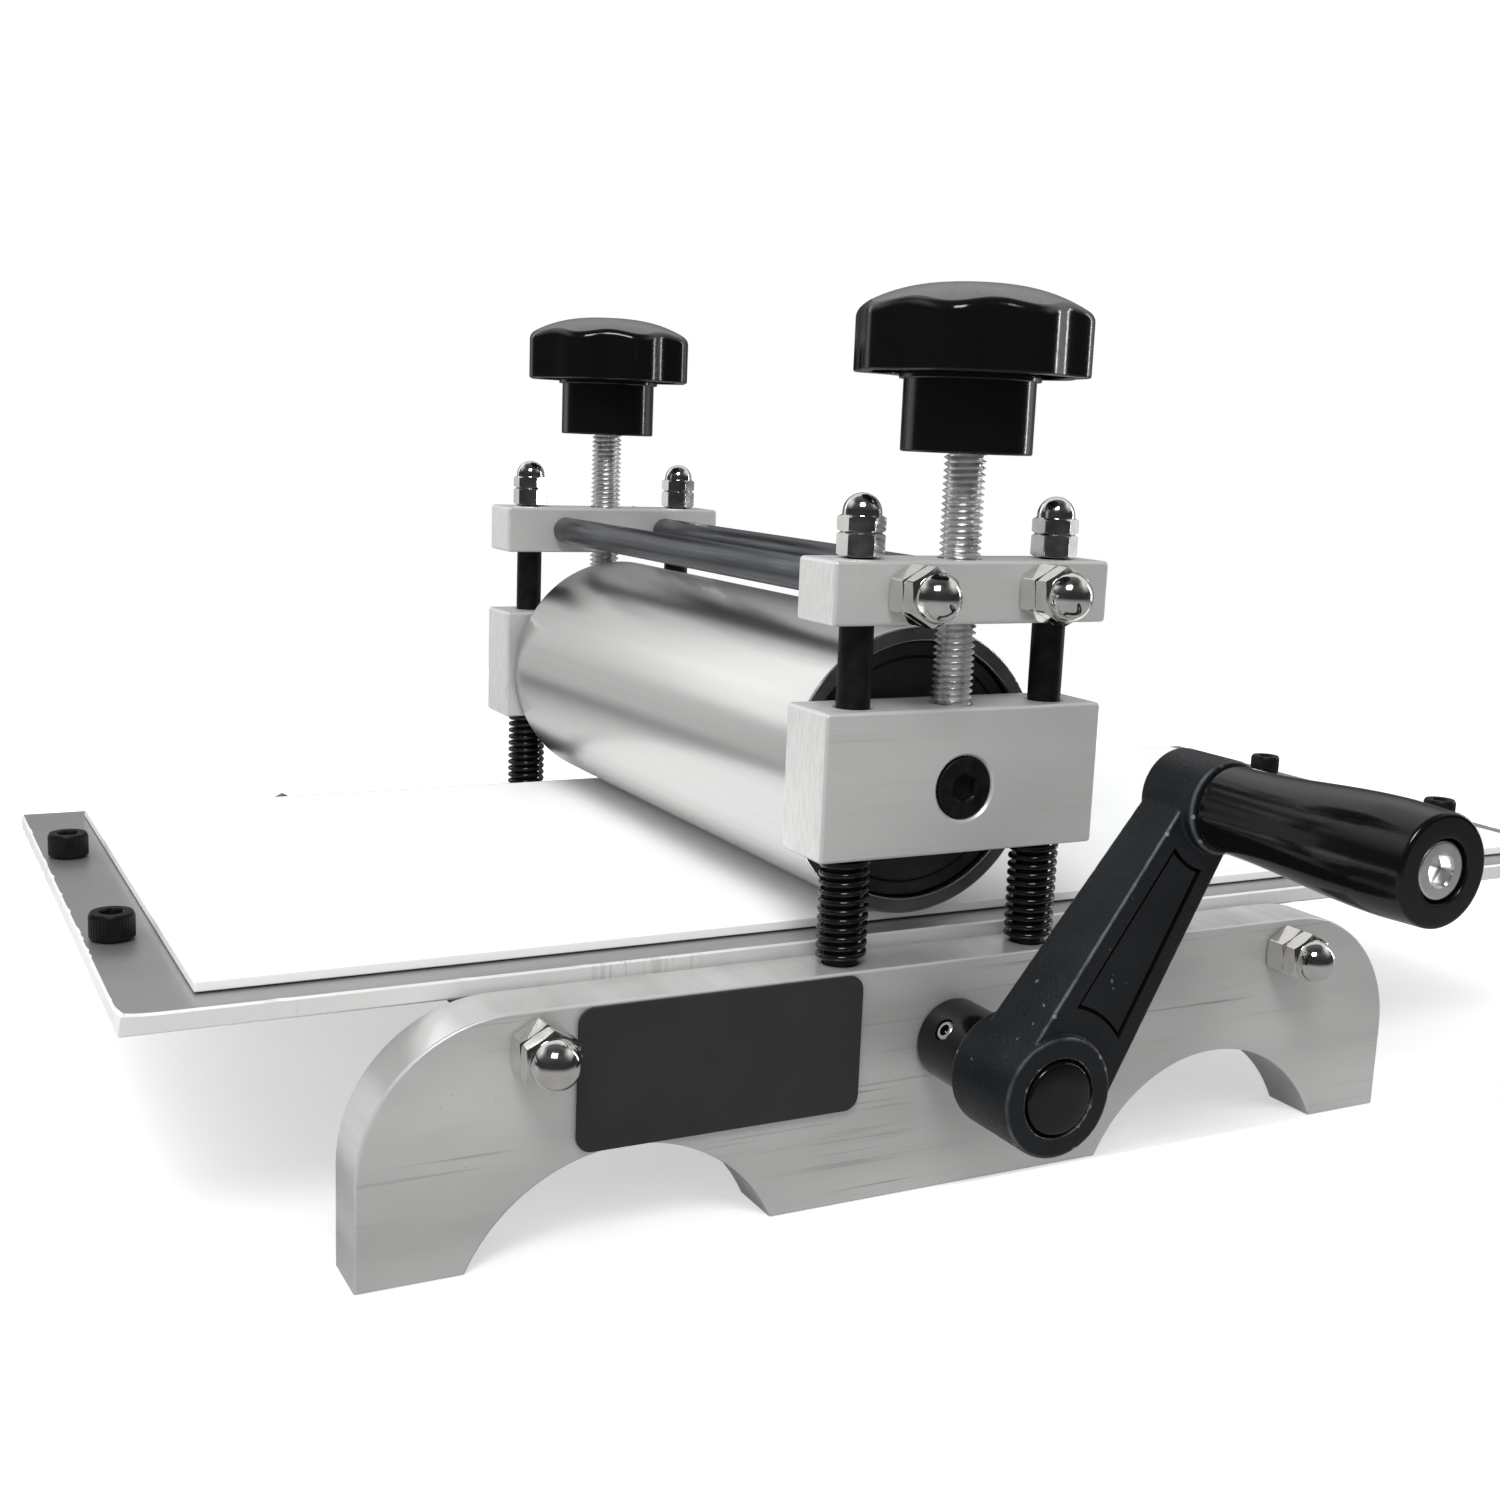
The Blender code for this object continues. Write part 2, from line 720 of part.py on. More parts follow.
def knob_form():
    """A hollow lobed head on a round stem, over a blind hole for the screw"""
    hole = circle(screw_diameter / 2 + fit_gap)
    stem = knob_stem_diameter / 2
    collar = circle(knob_collar_diameter / 2)
    rim = knob_head_diameter / 2
    inner = lobed(rim - knob_skirt_wall, knob_lobe_depth)
    eased = lobed(rim - knob_edge, knob_lobe_depth)
    outer = lobed(rim, knob_lobe_depth)
    collar_low = knob_stem_height - knob_collar_height
    ceiling = knob_stem_height + knob_skirt_depth
    rim_top = knob_stem_height + knob_rim_height
    rings = [(hole, screw_in_knob + seat_gap), (hole, 0), (circle(stem - knob_edge), 0)]
    rings += [(circle(stem), knob_edge), (circle(stem), collar_low), (collar, collar_low)]
    rings += [(collar, ceiling), (inner, ceiling), (inner, knob_stem_height), (eased, knob_stem_height)]
    rings += [(outer, knob_stem_height + knob_edge), (outer, rim_top - knob_edge), (eased, rim_top)]
    for radius_share, height_share in knob_dome_shares:
        edge = lobed(rim * radius_share, knob_lobe_depth * radius_share ** 2)
        rings.append((edge, rim_top + knob_dome_height * height_share))
    return ring_body(rings, knob_lobes * lobe_points)


def pressure_screw(side, carriage):
    """Screw and knob, turning in the top block and pressing on the bearing block"""
    y = side_position(side)[1]
    axis = put(f"pressure_screw_axis_{side}", None, (0, y, 0), (0, 0, 0), carriage)
    foot = screw_underside - roller_height
    knob_foot = knob_underside - roller_height
    radius = screw_diameter / 2
    profile = [(radius - screw_point, foot), (radius, foot + screw_point)]
    profile += [(radius, knob_foot + screw_in_knob)]
    piece(f"pressure_screw_{side}", turned(profile, thin_sides), zinc_screw(), parent=axis)
    piece(f"knob_{side}", knob_form(), gloss_black(), (0, 0, knob_foot), parent=axis)


def roller_carriage():
    """Everything that rises when the pressure screws are backed off"""
    carriage = put("roller_carriage", None, (0, 0, roller_height), (0, 0, 0), None)
    for side in side_places:
        bearing_block(side, carriage)
        pivot_screw(side, carriage)
        pressure_screw(side, carriage)
    upper_roller(carriage)


def stop_screw_form():
    shank = circle(stop_screw_diameter / 2)
    head = circle(stop_head_diameter / 2)
    socket = hexagon(stop_socket)
    head_top = seat_gap + stop_head_height
    rings = [(shank, seat_gap - bed_thickness), (shank, seat_gap), (head, seat_gap), (head, head_top)]
    rings += [(socket, head_top), (socket, head_top - stop_socket_depth)]
    return ring_body(rings, hex_sides)


def bed():
    """The sliding plate, the white board on it and the four screws that stop it at the roller"""
    slide = put("bed_slide", None, (bed_offset, plate_spacing / 2, bed_top), (0, 0, 0), None)
    size = (bed_length, bed_width, bed_thickness)
    plate = piece("bed_plate", box(size, (0, 0, -bed_thickness / 2), bed_bevel), bed_metal(), parent=slide)
    board = (bed_length - 2 * board_end_border, bed_width - 2 * board_side_border, board_thickness)
    centre = (0, 0, seat_gap + board_thickness / 2)
    piece("press_board", box(board, centre, bed_bevel), white_board(), parent=slide)
    places = {"crank": -stop_screw_offset, "far": stop_screw_offset}
    for end, sign in end_signs.items():
        for side, y in places.items():
            position = (sign * (bed_length / 2 - stop_screw_inset), y, 0)
            hole = pin(stop_screw_diameter / 2 + fit_gap, -bed_thickness - overrun, overrun)
            cut(plate, hole, f"stop_hole_{end}_{side}", position)
            piece(f"stop_screw_{end}_{side}", stop_screw_form(), black_steel(), position, parent=slide)


def shaft_bush(side):
    """A flanged bush: its flange takes the side play of the lower roller"""
    flange_thickness = lower_roller_side_gap - 2 * seat_gap
    flange_face = -outer_face - seat_gap
    flange_rear = flange_face - flange_thickness
    flange = bush_flange_diameter / 2
    body = bush_diameter / 2
    bore = shaft_diameter / 2 + fit_gap
    profile = [(flange, flange_rear), (flange, flange_face), (body, flange_face)]
    profile += [(body, outer_face), (bore, outer_face), (bore, flange_rear)]
    x, y, _ = side_position(side)
    piece(f"shaft_bush_{side}", turned(profile, round_sides, True, outward), bronze(),
          (x, y, crank_height), side_turn(side))


def drive_shaft(axis):
    """Runs from its clip outside the far side plate into the hub of the crank"""
    radius = shaft_diameter / 2
    groove = radius - clip_groove_depth
    far_face = -plate_spacing - plate_thickness
    clip_near = far_face - clip_clearance
    clip_far = clip_near - clip_thickness
    profile = [(radius, clip_far - shaft_tail), (radius, clip_far - fit_gap), (groove, clip_far - fit_gap)]
    profile += [(groove, clip_near + fit_gap), (radius, clip_near + fit_gap), (radius, shaft_in_crank)]
    piece("drive_shaft", turned(profile, heading=outward), bearing_steel(), parent=axis)
    clip_hole = groove + fit_gap
    clip_rim = clip_diameter / 2
    clip = [(clip_rim, clip_far), (clip_rim, clip_near), (clip_hole, clip_near), (clip_hole, clip_far)]
    piece("shaft_clip", turned(clip, round_sides, True, outward), black_steel(), parent=axis)


def lower_roller(axis):
    """The small roller that drives the bed"""
    middle = -outer_face - plate_spacing / 2
    half = plate_spacing / 2 - outer_face - lower_roller_side_gap
    outside = lower_roller_diameter / 2
    bore = shaft_diameter / 2 + fit_gap
    profile = [(outside, middle - half), (outside, middle + half), (bore, middle + half), (bore, middle - half)]
    piece("lower_roller", turned(profile, round_sides, True, outward), turned_metal(), parent=axis)


def arm_face_at(length):
    return arm_face_at_hub + (arm_face_at_grip - arm_face_at_hub) * length / crank_throw


def crank_arm(axis):
    """Collar, hub, tapered arm with a sunk panel, and the hub that holds the grip"""
    half_widths = (arm_width_at_hub / 2, arm_width_at_grip / 2)
    bar = tapered_bar((0, crank_throw), half_widths, (arm_rear, arm_rear),
                      (arm_face_at_hub, arm_face_at_grip), arm_bevel)
    arm = piece("crank_arm", bar, crank_paint(), parent=axis)
    collar = collar_diameter / 2
    hub = crank_hub_diameter / 2
    profile = [(collar, collar_start), (collar, hub_start), (hub, hub_start), (hub, hub_face)]
    combine(arm, turned(profile, heading=outward), "UNION", "crank_hub")
    grip_hub = pin(grip_hub_diameter / 2, grip_hub_rear, grip_hub_face, outward)
    combine(arm, grip_hub, "UNION", "grip_hub", (0, 0, crank_throw))
    shaft_hole = pin(shaft_diameter / 2 + fit_gap, collar_start - overrun, shaft_in_crank + seat_gap, outward)
    cut(arm, shaft_hole, "shaft_hole")
    cap_floor = hub_face - hub_cap_depth - seat_gap
    cut(arm, pin(hub_cap_diameter / 2 + fit_gap, cap_floor, hub_face + overrun, outward), "cap_seat")
    grip_hole = pin(stud_diameter / 2 + fit_gap, grip_hub_rear - overrun, grip_hub_face + overrun, outward)
    cut(arm, grip_hole, "grip_screw_hole", (0, 0, crank_throw))
    cut(arm, pin(set_screw_diameter / 2 + fit_gap, 0, collar + overrun, sideways),
        "set_screw_hole", (0, -set_screw_from_plate, 0))
    low, high = panel_from_hub, crank_throw - panel_from_grip
    faces = (arm_face_at(low), arm_face_at(high))
    panel = tapered_bar((low, high), (panel_width_at_hub / 2, panel_width_at_grip / 2),
                        [face - panel_depth for face in faces], [face + overrun for face in faces])
    cut(arm, panel, "panel_recess")


def hub_cap(axis):
    radius = hub_cap_diameter / 2
    crown = hub_face + hub_cap_proud
    profile = [(radius, hub_face - hub_cap_depth), (radius, hub_face), (radius - hub_cap_proud, crown)]
    piece("crank_hub_cap", turned(profile, heading=outward), gloss_black(), parent=axis)


def set_screw(axis):
    """Holds the collar of the crank on the shaft"""
    thread = circle(set_screw_diameter / 2)
    socket = hexagon(set_screw_socket)
    start = shaft_diameter / 2 + seat_gap
    end = collar_diameter / 2 - seat_gap
    rings = [(thread, start), (thread, end), (socket, end), (socket, end - set_screw_socket_depth)]
    form = ring_body(rings, hex_sides, heading=sideways)
    piece("crank_set_screw", form, zinc_screw(), (0, -set_screw_from_plate, 0), parent=axis)


def grip_screw(axis):
    shank = circle(stud_diameter / 2)
    head = circle(grip_head_diameter / 2)
    socket = hexagon(grip_socket)
    head_top = grip_end - grip_head_recess
    head_floor = head_top - grip_head_height
    rings = [(shank, grip_hub_rear + grip_screw_tail), (shank, head_floor), (head, head_floor)]
    rings += [(head, head_top), (socket, head_top), (socket, head_top - grip_socket_depth)]
    form = ring_body(rings, round_sides, heading=outward)
    piece("grip_screw", form, zinc_screw(), (0, 0, crank_throw), parent=axis)


def grip(axis):
    """A revolving grip: a narrow neck that swells to a belly and thins a little to its end"""
    spin = put("grip_axis", None, (0, 0, crank_throw), (0, 0, 0), axis)
    neck = grip_neck_diameter / 2
    belly = grip_belly_diameter / 2
    end = grip_end_diameter / 2
    swell_start = grip_start + grip_neck_length
    profile = [(neck - grip_edge, grip_start), (neck, grip_start + grip_edge)]
    for step in range(swell_steps + 1):
        share = step / swell_steps
        radius = neck + (belly - neck) * (1 - cos(pi * share)) / 2
        profile.append((radius, swell_start + grip_swell_length * share))
    profile += [(end, grip_end - grip_edge), (end - grip_edge, grip_end)]
    seat = grip_head_diameter / 2 + grip_head_clearance
    seat_floor = grip_end - grip_head_recess - grip_head_height - seat_gap
    bore = stud_diameter / 2 + fit_gap
    profile += [(seat, grip_end), (seat, seat_floor), (bore, seat_floor), (bore, grip_start)]
    piece("crank_grip", turned(profile, round_sides, True, outward), gloss_black(), parent=spin)


def crank():
    """Everything that turns with the handle, about the axis of the lower roller"""
    axis = put("crank_axis", None, (0, -outer_face, crank_height), (0, crank_lean, 0), None)
    drive_shaft(axis)
    lower_roller(axis)
    crank_arm(axis)
    hub_cap(axis)
    set_screw(axis)
    grip_screw(axis)
    grip(axis)


def frame():
    """The fixed pieces: side plates, tie rods, posts, top blocks, bushes, nuts and springs"""
    for side in side_places:
        side_plate(side)
        top_block(side)
        shaft_bush(side)
    label_plate()
    tie_rods()
    guide_posts()
    nuts()
    return_springs()


def side_position(side):
    return (0, side_places[side], 0)


def side_turn(side):
    return (0, 0, 0) if side == "crank" else (0, 0, pi)


def outward_sign(side):
    return -1 if side == "crank" else 1


for thing in list(bpy.data.objects):
    bpy.data.objects.remove(thing, do_unlink=True)
frame()
roller_carriage()
bed()
crank()
bpy.context.view_layer.update()
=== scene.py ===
"""Looks of a small hand cranked etching press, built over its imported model.

Metres, +Z up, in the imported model's own frame: the origin lies under the middle foot of the
crank side plate, the bed travels along X and the crank side faces -Y.
"""

import json
import random
from math import asin, atan2, ceil, cos, exp, pi, radians, sin, sqrt

import bmesh
import bpy
from mathutils import Matrix, Vector


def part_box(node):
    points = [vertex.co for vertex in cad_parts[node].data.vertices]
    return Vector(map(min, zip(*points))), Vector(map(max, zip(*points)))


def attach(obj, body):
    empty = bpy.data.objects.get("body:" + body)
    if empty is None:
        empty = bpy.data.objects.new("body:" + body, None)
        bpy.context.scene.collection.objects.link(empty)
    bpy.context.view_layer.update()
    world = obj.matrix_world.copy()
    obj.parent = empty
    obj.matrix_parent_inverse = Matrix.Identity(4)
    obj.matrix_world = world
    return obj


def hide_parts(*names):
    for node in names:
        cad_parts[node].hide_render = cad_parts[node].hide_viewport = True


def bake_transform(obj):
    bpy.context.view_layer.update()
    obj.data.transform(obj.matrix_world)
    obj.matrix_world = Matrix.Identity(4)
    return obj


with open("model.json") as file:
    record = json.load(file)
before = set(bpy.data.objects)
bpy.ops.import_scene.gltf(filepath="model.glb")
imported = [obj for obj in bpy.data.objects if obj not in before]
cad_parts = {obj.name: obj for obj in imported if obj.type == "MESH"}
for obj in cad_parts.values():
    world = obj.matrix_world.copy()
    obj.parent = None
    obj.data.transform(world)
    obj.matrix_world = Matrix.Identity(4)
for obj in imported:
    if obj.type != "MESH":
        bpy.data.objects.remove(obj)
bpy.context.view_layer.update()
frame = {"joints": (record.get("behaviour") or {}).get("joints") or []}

# The camera of the photograph, solved from straight edges of the press
camera_place = (-0.19167, -0.28359, 0.14753)
camera_turn = 0.481274
camera_tilt = 0.178519
camera_roll = 0.039181
camera_lens = 42.473
camera_sensor = 36
camera_near = 0.01

# Names that repeat
sides = ("crank", "far")
ends = ("left", "right")
corners = [(side, end) for side in sides for end in ends]
outward = {"crank": Matrix.Rotation(radians(90), 4, "X"), "far": Matrix.Rotation(radians(-90), 4, "X")}
leftward = Matrix.Rotation(radians(-90), 4, "Y")
upright = Matrix.Identity(4)

# How finely forms are drawn
ease_steps = 4
edge_steps = 3
label_edge_steps = 2
arm_edge_steps = 4
bed_corner_steps = 3
arch_steps = 40
corner_steps = 20
fine_sides = 160
round_sides = 96
thin_sides = 64
knurl_sides = 192
coil_points_per_turn = 36
coil_sides = 14
thread_sides = 72
lobe_sides = 192
dome_rows = 14
dome_last_angle = radians(88)
swell_rows = 24
hexagon_offsets = (-28.5, -27, -20, -10, 0, 10, 20, 27, 28.5, 30)
sharp_angle = radians(32)
flat_facing = 0.9
chamfer_slope = 0.577
chamfer_start_share = 0.95
corner_cut_share = 0.985

# Small gaps and rounded edges that many pieces share
seat_gap = 0.0003
tiny_ease = 0.0002
fine_ease = 0.0003
soft_ease = 0.0004

# Side plates and label
plate_edge = 0.0006
plate_corner_radius = 0.028
end_foot_length = 0.0195
middle_foot_length = 0.0772
arch_height = 0.0193
bush_hole = 0.0143
rim_slope = 0.2
label_corner_radius = 0.003
label_edge = 0.00018

# Fasteners
stud_diameter = 0.006
stud_hole = 0.0066
post_stud_diameter = 0.005
post_stud_hole = 0.0056
post_foot_chamfer = 0.0006
post_hole = 0.0072
screw_hole = 0.0086
rod_nut = {"flats": 0.010, "plain": 0.005, "hexagon": 0.0035, "dome": 0.0092, "rise": 0.0047}
post_nut = {"flats": 0.008, "plain": 0.0045, "hexagon": 0.0032, "dome": 0.0074, "rise": 0.0041}
nut_seam = 0.00025
dome_neck = 0.0004

# Hexagon sockets: their mouths and tips, as shares of the width across flats
narrow_mouth = 1.16
wide_mouth = 1.18
socket_tip_share = 0.8

# Rods across the press: their level, what holds them and their radius
rods = (("base", "side_plate", 0.005), ("top", "top_block", 0.0035))

# Blocks
block_edge = 0.0008
pivot_head_diameter = 0.012
pivot_head_height = 0.003
pivot_diameter = 0.008
pivot_socket = 0.005
pivot_socket_depth = 0.002
seat_chamfer = 0.0005
screw_seat_depth = 0.002

# Springs
spring_wire = 0.0012
spring_pitch = 0.00168

# Pressure screws and knobs
thread_pitch = 0.00125
thread_depth = 0.00077
thread_profile = ((0.0, 0.0), (0.12, 0.0), (0.5, 1.0), (0.62, 1.0))
knob_stem_radius = 0.0125
knob_stem_height = 0.0145
knob_collar_radius = 0.0134
knob_collar_height = 0.001
knob_dome_rise = 0.0055
knob_skirt_depth = 0.0025
knob_skirt_wall = 0.0022
knob_edge = 0.0005
knob_shoulder = 0.0013
knob_shoulder_rows = 6
knob_lobes = 8
knob_lobe_depth = 0.0018
knob_dome_power = 2.7
knob_scallop_power = 3
screw_in_knob = 0.0123

# Rollers and shaft
roller_wall = 0.0032
roller_rim_ease = 0.0006
disc_hole = 0.0224
disc_groove_share = 0.9
disc_groove = 0.0006
bearing_bore = 0.0086
race_wall = 0.0026
shield_depth = 0.0004
lower_roller_ease = 0.0005
shaft_radius = 0.005
shaft_seat_radius = 0.0053
shaft_end_ease = 0.0005
clip_groove_depth = 0.0007
bush_clearance = 0.00015

# Bed
bed_edge = 0.0004
bed_step = 0.0008
nick_count = 90
nick_depth = 0.00034
nick_width = 0.0009
nick_depth_shares = (0.3, 1)
nick_width_shares = (0.6, 1.6)
nick_reach = 3
nick_side_share = 0.6
lower_nick_seed = 7
upper_nick_seed = 3
chip_depth = 0.0011
chip_width = 0.0035
board_edge = 0.0003
stop_socket = 0.004
stop_socket_depth = 0.0025
stop_head_ease = 0.0004
stop_screw_diameter = 0.005
stop_hole = 0.0056
knurl_count = 36
knurl_depth = 0.00012

# Crank
crank_rear = -0.0065
collar_start = 0.0005
collar_radius = 0.00825
hub_start = 0.0175
hub_radius = 0.0115
hub_face = 0.0355
hub_ease = 0.0008
grip_hub_radius = 0.009
grip_hub_rear = 0.019
grip_hub_face = 0.0335
arm_rear = 0.020
arm_face_at_hub = 0.035
arm_face_at_grip = 0.0305
arm_half_at_hub = 0.0108
arm_half_at_grip = 0.0071
arm_ease = 0.0005
arm_voxel = 0.00024
arm_smoothing = 2
carve_overrun = 0.001
panel_depth = 0.0003
panel_from_hub = 0.0165
panel_from_grip = 0.0125
panel_half_at_hub = 0.0062
panel_half_at_grip = 0.0042
panel_arc_steps = 10
panel_groove = 0.0007
panel_groove_depth = 0.0009
panel_border = 0.0013
panel_floor_share = 0.3
panel_floor_facing = 0.7
cap_seat_radius = 0.0076
cap_radius = 0.0069
cap_depth = 0.0025
cap_rise = 0.0008
cap_edge_share = 0.4
cap_edge_ease = 0.0006
cap_top_share = 0.6
cap_top_ease = 0.002
cap_tip_share = 0.1
shaft_in_crank = 0.0297
set_screw_out = 0.0075
set_screw_radius = 0.002
set_screw_socket = 0.002
set_screw_socket_depth = 0.0012
# How far out the socket's painted shade reaches, as a share of the screw's radius
set_screw_shade_share = 0.7

# Grip
grip_start = 0.0338
grip_end = 0.0833
grip_neck_radius = 0.0082
grip_neck_length = 0.002
grip_swell_length = 0.038
grip_belly_radius = 0.0101
grip_end_radius = 0.0097
grip_ease = 0.0009
grip_seat_radius = 0.0055
grip_seat_depth = 0.0048
grip_bore_radius = 0.0033
grip_screw_start = 0.02
grip_head_radius = 0.005
grip_head_height = 0.004
grip_head_recess = 0.0005
grip_head_ease = 0.0005
grip_socket = 0.005
grip_socket_depth = 0.0025

# Floor
floor_radius = 0.75
floor_glow = 0.5
floor_drop = 0.00005
table_margin = 0.0005

# Studio: what glossy surfaces mirror by direction, a lone number being a grey, and the light of matt ones
room_power = 1.1
room_ahead = (0.463, 0.886, 0.0)
room_toward = (-0.46, -0.86, 0.2)
room_walls = ((0.0, (0.03, 0.03, 0.032)), (0.36, (0.05, 0.05, 0.052)), (0.48, 0.7), (0.64, 0.75),
              (0.78, 0.16), (1.0, 0.1))
room_sky = ((0.0, 0.8), (0.15, 0.65), (0.35, 0.25), (0.55, 0.08), (1.0, (0.03, 0.03, 0.032)))
room_rise = ((0.24, 0), (0.6, 1), (0.68, 1), (0.85, 0.1))
room_below = 0.36
room_below_range = (-0.3, -0.06)
fill_left = 1.2
fill_right = 0.45
ceiling_power = 1.1
ceiling_spread = radians(40)
ceiling_way = (0.4, -0.1, -1.0)

# Soft lights: name, place, what it looks at, size, power and roll
soft_lights = (("key", (-0.38, -0.6, 0.95), (0, 0.08, 0.08), (0.4, 0.34), 7, 0),
               ("streak", (-0.41, 1.1, 0.55), (0, 0.08, 0.08), (0.07, 0.7), 0.45, radians(40)),
               ("edge_right", (1.0, 0.0, 0.3), (0, 0.0, 0.15), (0.03, 0.6), 1.1, 0))

# Drawn aluminium: its pale grey, its dark grey and how heavily it is scratched
plate_look = (0.60, 0.44, 0.95)
block_look = (0.60, 0.54, 0.2)

# How far the crank's coat is worn: its outside, and the floor of its panel
arm_wear = 1.0
panel_wear = 0.0

